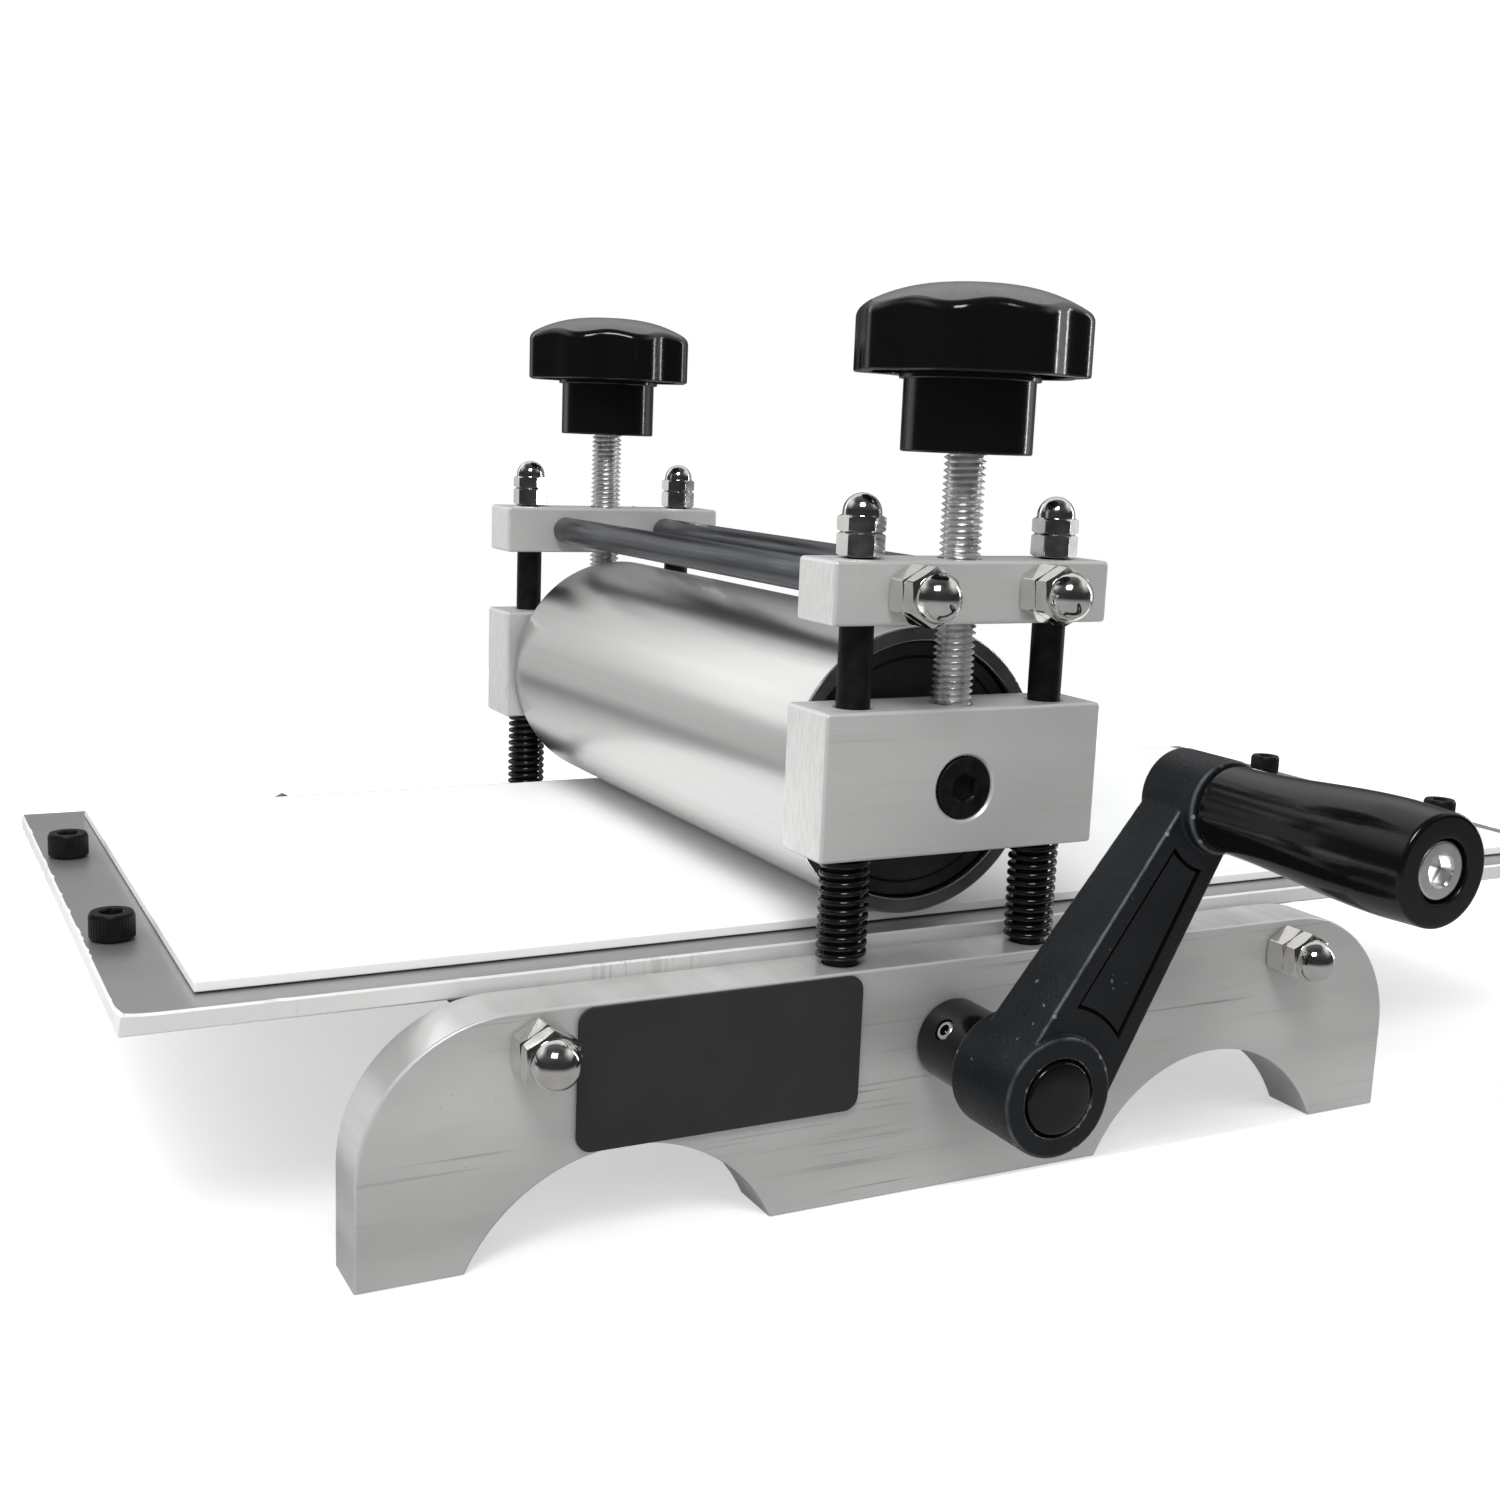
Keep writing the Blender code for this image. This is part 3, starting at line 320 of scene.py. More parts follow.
# Finishes of one or two grains, each with its cells to the metre and its detail. Tones, roughness and relief
# start with the name of the grain that they follow.
plain_finishes = {
    # Cut ends of the bars: brighter, with fine slanting saw lines
    "sawn_aluminium": {
        "colour": (0.78, 0.78, 0.77), "roughness": 0.45, "metallic": 0.5,
        "grains": {"lines": ((900, 2400, 260), 3), "clouds": (60, 3)},
        "tones": ("lines", (0.3, (0.6, 0.595, 0.58)), (0.6, (0.72, 0.72, 0.71))),
        "rough": ("clouds", 0.4, 0.55), "bump": ("lines", 0.2, 0.00004)},
    # Rolled plate: a flat grey with a fine grain along its length
    "bed_metal": {
        "colour": (0.4, 0.4, 0.395), "roughness": 0.36, "metallic": 0.8,
        "grains": {"lines": ((40, 2200, 2200), 3), "clouds": (25, 4)},
        "tones": ("clouds", (0.3, (0.38, 0.38, 0.375)), (0.7, (0.44, 0.44, 0.435))),
        "rough": ("lines", 0.32, 0.42), "bump": ("lines", 0.12, 0.00003)},
    # Drawn and polished tube: soft bands and very faint lines along its axis
    "turned_metal": {
        "colour": (0.62, 0.62, 0.61), "roughness": 0.26, "metallic": 1.0,
        "grains": {"lines": ((420, 3, 420), 2), "clouds": ((12, 6, 12), 1)},
        "tones": ("lines", (0.3, (0.6, 0.6, 0.59)), (0.7, (0.635, 0.635, 0.625))),
        "rough": ("clouds", 0.25, 0.27)},
    # Blackened disc with lathe rings round the roller's axis
    "dark_end_metal": {
        "colour": 0.03, "roughness": 0.42, "metallic": 0.3, "specular": 0.3, "turns": 900,
        "grains": {"clouds": (160, 3)}, "tones": ("clouds", (0.3, 0.022), (0.7, (0.036, 0.036, 0.035))),
        "rough": ("clouds", 0.36, 0.5), "bump": ("rings", 0.25, 0.00004)},
    # The faced rim of the roller, a darker grey with lathe rings
    "rim_metal": {
        "colour": (0.13, 0.128, 0.122), "roughness": 0.42, "metallic": 0.6, "turns": 700,
        "grains": {"clouds": (110, 3)},
        "tones": ("clouds", (0.3, (0.10, 0.098, 0.093)), (0.7, (0.17, 0.167, 0.16))),
        "rough": ("clouds", 0.34, 0.5), "bump": ("rings", 0.3, 0.00004)},
    # Blued rod with a satin polish along its length
    "dark_rod_steel": {
        "colour": (0.07, 0.075, 0.085), "roughness": 0.3, "metallic": 0.85,
        "grains": {"lines": ((2600, 60, 2600), 2), "clouds": ((120, 40, 120), 3)},
        "tones": ("clouds", (0.3, (0.055, 0.06, 0.068)), (0.7, (0.09, 0.097, 0.108))),
        "rough": ("lines", 0.26, 0.38), "bump": ("lines", 0.12, 0.00003)},
    # Black oxide, slightly uneven
    "black_steel": {
        "colour": 0.006, "roughness": 0.4, "specular": 0.15, "grains": {"clouds": (400, 4)},
        "tones": ("clouds", (0.35, (0.004, 0.004, 0.0045)), (0.7, (0.008, 0.008, 0.009))),
        "rough": ("clouds", 0.3, 0.46), "bump": ("clouds", 0.12, 0.00005)},
    # Oiled black spring wire
    "spring_steel": {
        "colour": (0.004, 0.004, 0.005), "roughness": 0.14, "specular": 0.45,
        "grains": {"clouds": (700, 3)}, "rough": ("clouds", 0.10, 0.24), "bump": ("clouds", 0.1, 0.00003)},
    # Bright nickel plate over slightly uneven steel
    "nickel": {
        "colour": (0.78, 0.76, 0.73), "roughness": 0.1, "metallic": 1.0, "grains": {"clouds": (260, 3)},
        "tones": ("clouds", (0.3, (0.70, 0.68, 0.65)), (0.7, (0.82, 0.81, 0.79))),
        "rough": ("clouds", 0.05, 0.14), "bump": ("clouds", 0.08, 0.00008)},
    # Bright zinc on rolled threads and socket heads
    "zinc_screw": {
        "colour": (0.8, 0.8, 0.81), "roughness": 0.3, "metallic": 1.0, "grains": {"clouds": (300, 3)},
        "tones": ("clouds", (0.3, (0.78, 0.78, 0.8)), (0.7, 0.92)), "rough": ("clouds", 0.26, 0.36)},
    # Turned bearing bronze
    "bronze": {
        "colour": (0.5, 0.33, 0.14), "roughness": 0.32, "metallic": 1.0, "grains": {"clouds": (300, 3)},
        "tones": ("clouds", (0.3, (0.44, 0.28, 0.11)), (0.7, (0.56, 0.38, 0.17))),
        "rough": ("clouds", 0.26, 0.4)},
    # Ground steel
    "bearing_steel": {
        "colour": (0.55, 0.55, 0.56), "roughness": 0.2, "metallic": 1.0,
        "grains": {"lines": ((60, 3000, 60), 2)},
        "tones": ("lines", (0.3, (0.46, 0.46, 0.47)), (0.7, (0.6, 0.6, 0.61))),
        "rough": ("lines", 0.14, 0.28)},
    # Moulded black plastic: a hard gloss with a faint ripple
    "gloss_black": {
        "colour": (0.003, 0.003, 0.0035), "roughness": 0.1, "specular": 0.42,
        "grains": {"ripple": (110, 2), "dust": (1500, 2)},
        "rough": ("dust", 0.09, 0.17), "bump": ("ripple", 0.1, 0.0002)},
    # The knobs' domes: the same plastic rubbed to a satin, its base colour painted lighter grey as the sheen
    # of the bright light above them
    "satin_sheen_black": {
        "colour": (0.07, 0.07, 0.068), "roughness": 0.3, "specular": 0.6,
        "grains": {"clouds": (90, 3), "dust": (1200, 2)},
        "tones": ("clouds", (0.3, (0.062, 0.062, 0.06)), (0.7, (0.078, 0.078, 0.075))),
        "rough": ("dust", 0.26, 0.36)},
    # The coat in the groove round the arm's panel, painted darker as the shade that falls in the groove
    "groove_shade_paint": {
        "colour": (0.003, 0.0033, 0.0036), "roughness": 0.6, "specular": 0.1,
        "grains": {"pebble": (2200, 3), "clouds": (120, 3)},
        "tones": ("clouds", (0.3, (0.002, 0.0022, 0.0025)), (0.7, (0.004, 0.0043, 0.0046))),
        "rough": ("clouds", 0.5, 0.65), "bump": ("pebble", 0.25, 0.00006)},
    # Bare dark sheet, fine matt
    "blank_label": {
        "colour": (0.024, 0.024, 0.025), "roughness": 0.55, "specular": 0.15,
        "grains": {"tooth": (2400, 2), "clouds": (60, 3)},
        "tones": ("clouds", (0.3, (0.022, 0.022, 0.023)), (0.7, (0.026, 0.026, 0.027))),
        "rough": ("tooth", 0.45, 0.6), "bump": ("tooth", 0.12, 0.00003)},
    # Dense white plastic sheet with a soft sheen and faint marks
    "white_board": {
        "colour": (0.81, 0.815, 0.82), "roughness": 0.33,
        "grains": {"clouds": (14, 4), "tooth": (1500, 2)},
        "tones": ("clouds", (0.3, (0.79, 0.8, 0.805)), (0.65, (0.83, 0.832, 0.83))),
        "rough": ("clouds", 0.28, 0.42), "bump": ("tooth", 0.06, 0.00003)},
}


def node(material, kind, inputs=None, **settings):
    """Adds a shader node; an input is a value or another node's output"""
    made = material.node_tree.nodes.new(kind)
    for key, value in settings.items():
        setattr(made, key, value)
    for socket, value in (inputs or {}).items():
        if isinstance(value, bpy.types.NodeSocket):
            material.node_tree.links.new(value, made.inputs[socket])
        else:
            made.inputs[socket].default_value = value
    return made


def rgba(colour):
    """A colour with its alpha: a lone number is a grey, and another node's output passes as it is"""
    if isinstance(colour, bpy.types.NodeSocket):
        return colour
    return (*colour, 1) if isinstance(colour, tuple) else (colour, colour, colour, 1)


def finish(name, colour, roughness, metallic=0.0, specular=0.5, glow=0.0):
    """A Principled material for one slot of the record, its constant values on the shader's own sockets"""
    material = bpy.data.materials.new(f"fine_{name}")
    material["slot"] = name
    material.use_nodes = True
    sockets = material.node_tree.nodes["Principled BSDF"].inputs
    sockets["Base Color"].default_value = rgba(colour)
    sockets["Roughness"].default_value = roughness
    sockets["Metallic"].default_value = metallic
    sockets["Specular IOR Level"].default_value = specular
    sockets["Emission Strength"].default_value = glow
    return material


def feed(material, socket, output):
    shader = material.node_tree.nodes["Principled BSDF"]
    material.node_tree.links.new(output, shader.inputs[socket])


def vector_math(material, operation, *values):
    """The outputs of one step of vector arithmetic"""
    return node(material, "ShaderNodeVectorMath", dict(enumerate(values)), operation=operation).outputs


def surface_places(material, scale, shift=(0, 0, 0)):
    """Places on the piece, in its own axes, shifted and then scaled"""
    places = node(material, "ShaderNodeTexCoord").outputs["Object"]
    shifted = vector_math(material, "ADD", places, shift)[0]
    return vector_math(material, "MULTIPLY", shifted, scale)[0]


def grain(material, cells, detail=3.0, shift=(0, 0, 0)):
    """Noise with so many cells to the metre, along each axis or the same along all"""
    scale = cells if isinstance(cells, tuple) else (cells, cells, cells)
    vector = surface_places(material, scale, shift)
    noise = node(material, "ShaderNodeTexNoise", {"Vector": vector, "Scale": 1.0, "Detail": detail})
    return noise.outputs["Fac"]


def rings(material, turns):
    """Fine lathe rings round the upper roller's axis, so many turns to the metre"""
    vector = surface_places(material, (1, 1, 1), (0, 0, -centre_of("upper_roller").z))
    wave = node(material, "ShaderNodeTexWave", {"Vector": vector, "Scale": turns, "Distortion": 0.6},
                wave_type="RINGS", rings_direction="Y")
    return wave.outputs["Fac"]


def spread(material, factor, low, high, start=0.3, end=0.7):
    """A factor turned into a range of values"""
    inputs = {"Value": factor, "From Min": start, "From Max": end, "To Min": low, "To Max": high}
    return node(material, "ShaderNodeMapRange", inputs).outputs["Result"]


def shades(material, factor, *stops):
    """A factor turned into colours: each stop is a place and a colour"""
    ramp = node(material, "ShaderNodeValToRGB", {"Fac": factor})
    elements = ramp.color_ramp.elements
    while len(elements) < len(stops):
        elements.new(0.5)
    for element, (place, colour) in zip(elements, stops):
        element.position = place
        element.color = rgba(colour)
    return ramp.outputs["Color"]


def mixed(material, factor, first, second):
    """Two colours mixed by a factor, either of them a colour or another node's output"""
    inputs = {"Factor": factor, 6: rgba(first), 7: rgba(second)}
    return node(material, "ShaderNodeMix", inputs, data_type="RGBA").outputs[2]


def combined(material, operation, first, second):
    """One number worked out from two"""
    return node(material, "ShaderNodeMath", {0: first, 1: second}, operation=operation).outputs[0]


def relief(material, height, strength, depth):
    """A bump from a height factor"""
    bump = node(material, "ShaderNodeBump", {"Height": height, "Strength": strength, "Distance": depth})
    return bump.outputs["Normal"]


def plain_finish(name, grains, rough, tones=None, bump=None, turns=None, **shader_values):
    """One of the plain finishes"""
    material = finish(name, **shader_values)
    factors = {key: grain(material, cells, detail) for key, (cells, detail) in grains.items()}
    if turns:
        factors["rings"] = rings(material, turns)
    if tones:
        feed(material, "Base Color", shades(material, factors[tones[0]], *tones[1:]))
    feed(material, "Roughness", spread(material, factors[rough[0]], *rough[1:]))
    if bump:
        feed(material, "Normal", relief(material, factors[bump[0]], *bump[1:]))
    return material


def drawn_aluminium(pale, dark, scarring):
    """Extruded bar: very fine lines along its length, soft clouds of two greys and some long scratches"""
    material = finish("drawn_aluminium", pale, 0.36, 0.5)
    lines = grain(material, (20, 3600, 3600), 2)
    clouds = grain(material, (11, 40, 40), 3)
    tone = shades(material, clouds, (0.34, (dark, dark, dark * 0.985)), (0.64, (pale, pale, pale * 0.985)))
    streaks = spread(material, grain(material, (16, 1100, 1100), 3), 0.0, 1.0, 0.57, 0.70)
    where = spread(material, grain(material, (22, 60, 60), 1, (0.4, 0, 0)), 0.0, scarring, 0.48, 0.66)
    scratches = combined(material, "MULTIPLY", streaks, where)
    flecks = spread(material, grain(material, (900, 2600, 2600), 1), 0.0, 0.5, 0.73, 0.78)
    scarred = mixed(material, scratches, tone, (0.3, 0.295, 0.28))
    feed(material, "Base Color", mixed(material, flecks, scarred, (0.25, 0.245, 0.23)))
    feed(material, "Roughness", spread(material, clouds, 0.36, 0.46))
    feed(material, "Normal", relief(material, lines, 0.12, 0.00003))
    return material


def milled_edge():
    """The plates' cut rims: bare and brighter, with soft bands across them and long marks of the cutter"""
    material = finish("milled_edge", (0.66, 0.66, 0.655), 0.3, 0.7)
    bands = grain(material, (70, 12, 70), 2)
    marks = spread(material, grain(material, (260, 14, 260), 2), 0.0, 0.35, 0.5, 0.7)
    tone = shades(material, bands, (0.3, (0.56, 0.56, 0.55)), (0.7, (0.74, 0.74, 0.735)))
    feed(material, "Base Color", mixed(material, marks, tone, (0.5, 0.5, 0.49)))
    feed(material, "Roughness", spread(material, bands, 0.28, 0.34))
    return material


def sawn_metal():
    """The sawn sides of the bed: bright, with fine upright cut marks, deeper in a few places"""
    material = finish("sawn_metal", (0.82, 0.82, 0.81), 0.42, 0.5)
    cuts = grain(material, (1300, 1300, 50), 2)
    bands = grain(material, (38, 38, 5), 2)
    deep = spread(material, bands, 0.0, 0.55, 0.56, 0.64)
    marks = shades(material, cuts, (0.40, (0.42, 0.41, 0.39)), (0.47, (0.84, 0.84, 0.83)))
    feed(material, "Base Color", mixed(material, deep, (0.84, 0.84, 0.83), marks))
    feed(material, "Roughness", spread(material, bands, 0.36, 0.5))
    feed(material, "Normal", relief(material, cuts, 0.18, 0.00004))
    return material


def crank_paint(wear):
    """Powder coat over a casting: a fine pebble, rubbed lighter along its edges where it wears"""
    material = finish("crank_paint", (0.006, 0.0074, 0.009), 0.42, specular=0.3)
    pebble = grain(material, 1500, 4)
    clouds = grain(material, 140, 4)
    body = shades(material, clouds, (0.3, (0.005, 0.0063, 0.0078)), (0.7, (0.0078, 0.0096, 0.0118)))
    bend = node(material, "ShaderNodeNewGeometry").outputs["Pointiness"]
    rubbed = spread(material, bend, 0.0, 1.0, 0.512, 0.55)
    patchy = spread(material, clouds, 0.1 * wear, wear, 0.36, 0.54)
    worn = combined(material, "MULTIPLY", rubbed, patchy)
    specks = spread(material, grain(material, 520, 1), 0.0, 0.6, 0.77, 0.80)
    chipped = combined(material, "MAXIMUM", worn, specks)
    feed(material, "Base Color", mixed(material, chipped, body, (0.16, 0.17, 0.18)))
    feed(material, "Roughness", spread(material, pebble, 0.36, 0.52))
    feed(material, "Normal", relief(material, pebble, 0.8, 0.00016))
    return material


def floor_paint():
    """A pale floor that glows a little; to glossy rays it shows a painted reflection, darker in front and
    far off, as dark cards round it would
    """
    material = finish("floor_paint", 0.6, 0.6, glow=floor_glow)
    pale = shades(material, grain(material, 3), (0.3, 0.6), (0.7, 0.62))
    places = surface_places(material, (1, 1, 1))
    away = vector_math(material, "LENGTH", places)["Value"]
    behind = node(material, "ShaderNodeSeparateXYZ", {"Vector": places}).outputs["Y"]
    # painted reflection: what glossy rays see of the floor, darker in front of the press and further off
    near = shades(material, behind, (0.0, 0.28), (0.2, 0.6))
    cards = mixed(material, spread(material, away, 0.0, 1.0, 0.3, 0.62), near, 0.08)
    mirrored = node(material, "ShaderNodeLightPath").outputs["Is Glossy Ray"]
    feed(material, "Base Color", mixed(material, mirrored, pale, cards))
    feed(material, "Emission Color", mixed(material, mirrored, 1.0, 0.0))
    return material


def even_angles(count):
    return [2 * pi * step / count for step in range(count)]


def hexagon_angles():
    return [radians(60 * face + offset) for face in range(6) for offset in hexagon_offsets]


def round_ring(radius, height):
    return lambda angle: (radius, height)


def hexagon_ring(flats, height, slope=0.0):
    """A hexagon with rubbed corners; slope is that of the cone that chamfers them"""
    corner = flats / sqrt(3) * corner_cut_share

    def ring(angle):
        radius = min(flats / 2 / cos((angle + pi / 6) % (pi / 3) - pi / 6), corner)
        return radius, height - slope * (radius - flats / 2 * chamfer_start_share)
    return ring


def waved_ring(radius, height, waves, depth):
    """A circle whose edge dips so many times, as lobes or a knurl do"""
    return lambda angle: (radius - depth * (1 - cos(waves * angle)) / 2, height)


def skinned(loops, closed=False):
    """A body through a stack of loops of places, capped at both ends or joined last to first"""
    form = bmesh.new()
    rows = [[form.verts.new(place) for place in loop] for loop in loops]
    if closed:
        rows.append(rows[0])
    else:
        form.faces.new(rows[0])
        form.faces.new(rows[-1])
    for lower, upper in zip(rows, rows[1:]):
        for step in range(len(lower)):
            after = (step + 1) % len(lower)
            form.faces.new((lower[step], lower[after], upper[after], upper[step]))
    bmesh.ops.recalc_face_normals(form, faces=form.faces[:])
    return form


def ring_body(stack, angles, closed=False):
    """A body through a stack of rings along +Z"""
    loops = []
    for ring in stack:
        loop = []
        for angle in angles:
            radius, height = ring(angle)
            loop.append((radius * cos(angle), radius * sin(angle), height))
        loops.append(loop)
    return skinned(loops, closed)


def eased(points):
    """Rounds the corners of a profile: each point is a radius, a height and, if it is round, how far"""
    curve = []
    for index, (radius, height, *ease) in enumerate(points):
        corner = Vector((radius, height))
        if not ease:
            curve.append(corner)
            continue
        before = Vector(points[index - 1][:2]) - corner
        after = Vector(points[(index + 1) % len(points)][:2]) - corner
        start = corner + before.normalized() * ease[0]
        end = corner + after.normalized() * ease[0]
        for step in range(ease_steps + 1):
            share = step / ease_steps
            curve.append(start.lerp(corner, share).lerp(corner.lerp(end, share), share))
    return curve


def turned_rings(points):
    return [round_ring(*point) for point in eased(points)]


def lathe(points, count=round_sides, closed=False):
    """A body of revolution about +Z from an eased profile"""
    return ring_body(turned_rings(points), even_angles(count), closed)


def pin(radius, start, end):
    return lathe([(radius, start), (radius, end)], thin_sides)


def socket_rings(flats, top, depth, mouth):
    """A hexagon socket sunk from a flat head, with a chamfered mouth"""
    bottom = top - depth
    return [round_ring(flats / 2 * mouth, top), hexagon_ring(flats, top - seat_gap),
            hexagon_ring(flats, bottom), round_ring(flats / 2 * socket_tip_share, bottom - seat_gap)]


def socket_screw(points, flats, depth, mouth):
    """A turned screw whose profile ends on the flat of its head, with a hexagon socket sunk there"""
    stack = turned_rings(points)[:-1] + socket_rings(flats, points[-1][1], depth, mouth)
    return ring_body(stack, hexagon_angles())


def mesh_of(name, form):
    mesh = bpy.data.meshes.new(name)
    form.to_mesh(mesh)
    form.free()
    return mesh


def added(name, data):
    thing = bpy.data.objects.new(name, data)
    bpy.context.scene.collection.objects.link(thing)
    return thing


def removed(thing):
    mesh = thing.data
    bpy.data.objects.remove(thing)
    bpy.data.meshes.remove(mesh)


def joined(*forms):
    """Several loose forms in one"""
    whole = bmesh.new()
    for form in forms:
        mesh = mesh_of("joined", form)
        whole.from_mesh(mesh)
        bpy.data.meshes.remove(mesh)
    return whole


def moved(form, place, turn=upright):
    form.transform(Matrix.Translation(place) @ turn)
    return form


def settled(thing):
    """The form of an object with its modifiers applied; the object goes"""
    graph = bpy.context.evaluated_depsgraph_get()
    form = bmesh.new()
    form.from_object(thing, graph)
    removed(thing)
    return form


def carved(form, *tools):
    """A form with other forms cut out of it"""
    body = added("passing", mesh_of("passing", form))
    tool = added("passing", mesh_of("passing", joined(*tools)))
    change = body.modifiers.new("carve", "BOOLEAN")
    change.operation = "DIFFERENCE"
    change.solver = "EXACT"
    change.object = tool
    result = settled(body)
    removed(tool)
    return result


def bevelled(form, edges, offset, segments=edge_steps):
    bmesh.ops.bevel(form, geom=edges, offset=offset, segments=segments, profile=0.5, affect="EDGES")
    return form


def block(low, high, edge):
    """A rectangular bar between two corners, with rounded edges"""
    form = bmesh.new()
    bmesh.ops.create_cube(form, size=1)
    form.transform(Matrix.Translation((low + high) / 2) @ Matrix.Diagonal((*(high - low), 1)))
    return bevelled(form, form.edges[:], edge)


def slab(outline, low, high, edge, segments=edge_steps):
    """An outline given thickness along +Z, with rounded edges"""
    form = skinned([[(*point, height) for point in outline] for height in (low, high)])
    rims = [rim for cap in form.faces[:2] for rim in cap.edges]
    return bevelled(form, rims, edge, segments)


def arc(centre, radius, start, end, steps):
    angles = [start + (end - start) * step / steps for step in range(steps + 1)]
    return [(centre[0] + radius * cos(angle), centre[1] + radius * sin(angle)) for angle in angles]


def dress(name, form, material, body, *others):
    """The visible piece of one node, riding on a body if one is given; faces pick the others by index"""
    bmesh.ops.recalc_face_normals(form, faces=form.faces[:])
    mesh = mesh_of(f"{name}_fine", form)
    mesh.shade_smooth()
    mesh.set_sharp_from_angle(angle=sharp_angle)
    mesh.materials.append(material)
    thing = added(f"{name}_fine", mesh)
    if body:
        even = thing.modifiers.new("even_normals", "WEIGHTED_NORMAL")
        even.keep_sharp = True
        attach(thing, body)
    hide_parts(name)
    for other in others:
        mesh.materials.append(other)
    return thing


def turned_piece(name, points, place, turn, material, body, count=round_sides, closed=True):
    """A visible piece that is a body of revolution, hollow where its profile closes on itself"""
    return dress(name, moved(lathe(points, count, closed), place, turn), material, body)


def refinish(thing, material, chosen):
    """Gives the chosen faces of a piece another finish"""
    thing.data.materials.append(material)
    for face in thing.data.polygons:
        if chosen(face):
            face.material_index = 1


def centre_of(name):
    low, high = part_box(name)
    return (low + high) / 2


def seat_of(name, side):
    """Where a node that points out of one side starts, on its own axis"""
    low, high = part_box(name)
    start = high.y if side == "crank" else low.y
    return Vector(((low.x + high.x) / 2, start, (low.z + high.z) / 2))


def foot_of(name):
    """The foot of an upright node, on its own axis"""
    low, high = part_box(name)
    return Vector(((low.x + high.x) / 2, (low.y + high.y) / 2, low.z))


def size_of(name):
    low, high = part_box(name)
    return high - low


def through_hole(diameter, name, place):
    """A pin across the whole of a node, along Y"""
    low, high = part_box(name)
    form = pin(diameter / 2, low.y - plate_edge, high.y + plate_edge)
    return moved(form, (place.x, 0, place.z), outward["far"])


def plate_outline(length, height):
    """Three feet, two arches and round top corners"""
    half = length / 2
    half_middle = middle_foot_length / 2
    half_arch = (half - end_foot_length - half_middle) / 2
    arch_x = half_middle + half_arch
    radius = (half_arch ** 2 + arch_height ** 2) / (2 * arch_height)
    sunk = radius - arch_height
    rise = asin(sunk / radius)
    corner_x = half - plate_corner_radius
    corner_height = height - plate_corner_radius
    return [(-half, 0),
            *arc((-arch_x, -sunk), radius, pi - rise, rise, arch_steps),
            *arc((arch_x, -sunk), radius, pi - rise, rise, arch_steps),
            (half, 0),
            *arc((corner_x, corner_height), plate_corner_radius, 0, pi / 2, corner_steps),
            *arc((-corner_x, corner_height), plate_corner_radius, pi / 2, pi, corner_steps)]


def side_plates(material, rim_material):
    for side in sides:
        name = f"side_plate_{side}"
        size = size_of(name)
        centre = centre_of(name)
        form = slab(plate_outline(size.x, size.z), -size.y / 2, size.y / 2, plate_edge)
        moved(form, (centre.x, centre.y, 0), outward["crank"])
        holes = [through_hole(bush_hole, name, centre_of(f"shaft_bush_{side}"))]
        for end in ends:
            holes.append(through_hole(stud_hole, name, centre_of(f"base_nut_{side}_{end}")))
            holes.append(moved(pin(post_hole / 2, -seat_gap, size.z), foot_of(f"guide_post_{side}_{end}")))
        plate = dress(name, carved(form, *holes), material, "frame")
        refinish(plate, rim_material, lambda face: abs(face.normal.y) < rim_slope)


def label_plate(material):
    size = size_of("label_plate")
    half_length = size.x / 2 - label_corner_radius
    half_height = size.z / 2 - label_corner_radius
    outline = []
    for index, (across, along) in enumerate(((1, 1), (-1, 1), (-1, -1), (1, -1))):
        corner = (across * half_length, along * half_height)
        outline += arc(corner, label_corner_radius, index * pi / 2, (index + 1) * pi / 2, corner_steps)
    form = slab(outline, 0, size.y, label_edge, label_edge_steps)
    dress("label_plate", moved(form, seat_of("label_plate", "crank"), outward["crank"]), material, "frame")


def tie_rods(material):
    """Rods between the two sides, with a thinner stud at each end"""
    stud = stud_diameter / 2
    for end in ends:
        for level, holder, radius in rods:
            name = f"{level}_rod_{end}"
            reach = size_of(name).y / 2
            holder_y = foot_of(f"{holder}_crank").y + size_of(f"{holder}_crank").y / 2
            half = centre_of(name).y - holder_y - seat_gap
            points = [(stud, -reach), (stud, -half), (radius, -half, soft_ease), (radius, half, soft_ease),
                      (stud, half), (stud, reach)]
            turned_piece(name, points, centre_of(name), outward["far"], material, "frame", closed=False)


def nut_form(sizes, hole):
    """A plain nut under a domed one, with the seam between them"""
    flats = sizes["flats"]
    low = sizes["plain"]
    high = low + sizes["hexagon"]
    rim = flats / 2 * chamfer_start_share
    dome = sizes["dome"] / 2
    stack = [round_ring(hole / 2, high), round_ring(hole / 2, 0), round_ring(rim, 0),
             hexagon_ring(flats, 0, -chamfer_slope), hexagon_ring(flats, low, chamfer_slope),
             round_ring(rim, low), round_ring(rim - nut_seam, low), round_ring(rim, low),
             hexagon_ring(flats, low, -chamfer_slope), hexagon_ring(flats, high, chamfer_slope),
             round_ring(rim, high), round_ring(dome, high)]
    for row in range(dome_rows):
        angle = pi / 2 * row / dome_rows
        rise = dome_neck + (sizes["rise"] - dome_neck) * sin(angle)
        stack.append(round_ring(dome * cos(angle), high + rise))
    stack.append(round_ring(dome * cos(dome_last_angle), high + sizes["rise"]))
    return ring_body(stack, hexagon_angles())


def nuts(material):
    for side, end in corners:
        for level in ("base", "top"):
            name = f"{level}_nut_{side}_{end}"
            form = moved(nut_form(rod_nut, stud_hole), seat_of(name, side), outward[side])
            dress(name, form, material, "frame")
        name = f"post_nut_{side}_{end}"
        dress(name, moved(nut_form(post_nut, post_stud_hole), foot_of(name)), material, "frame")


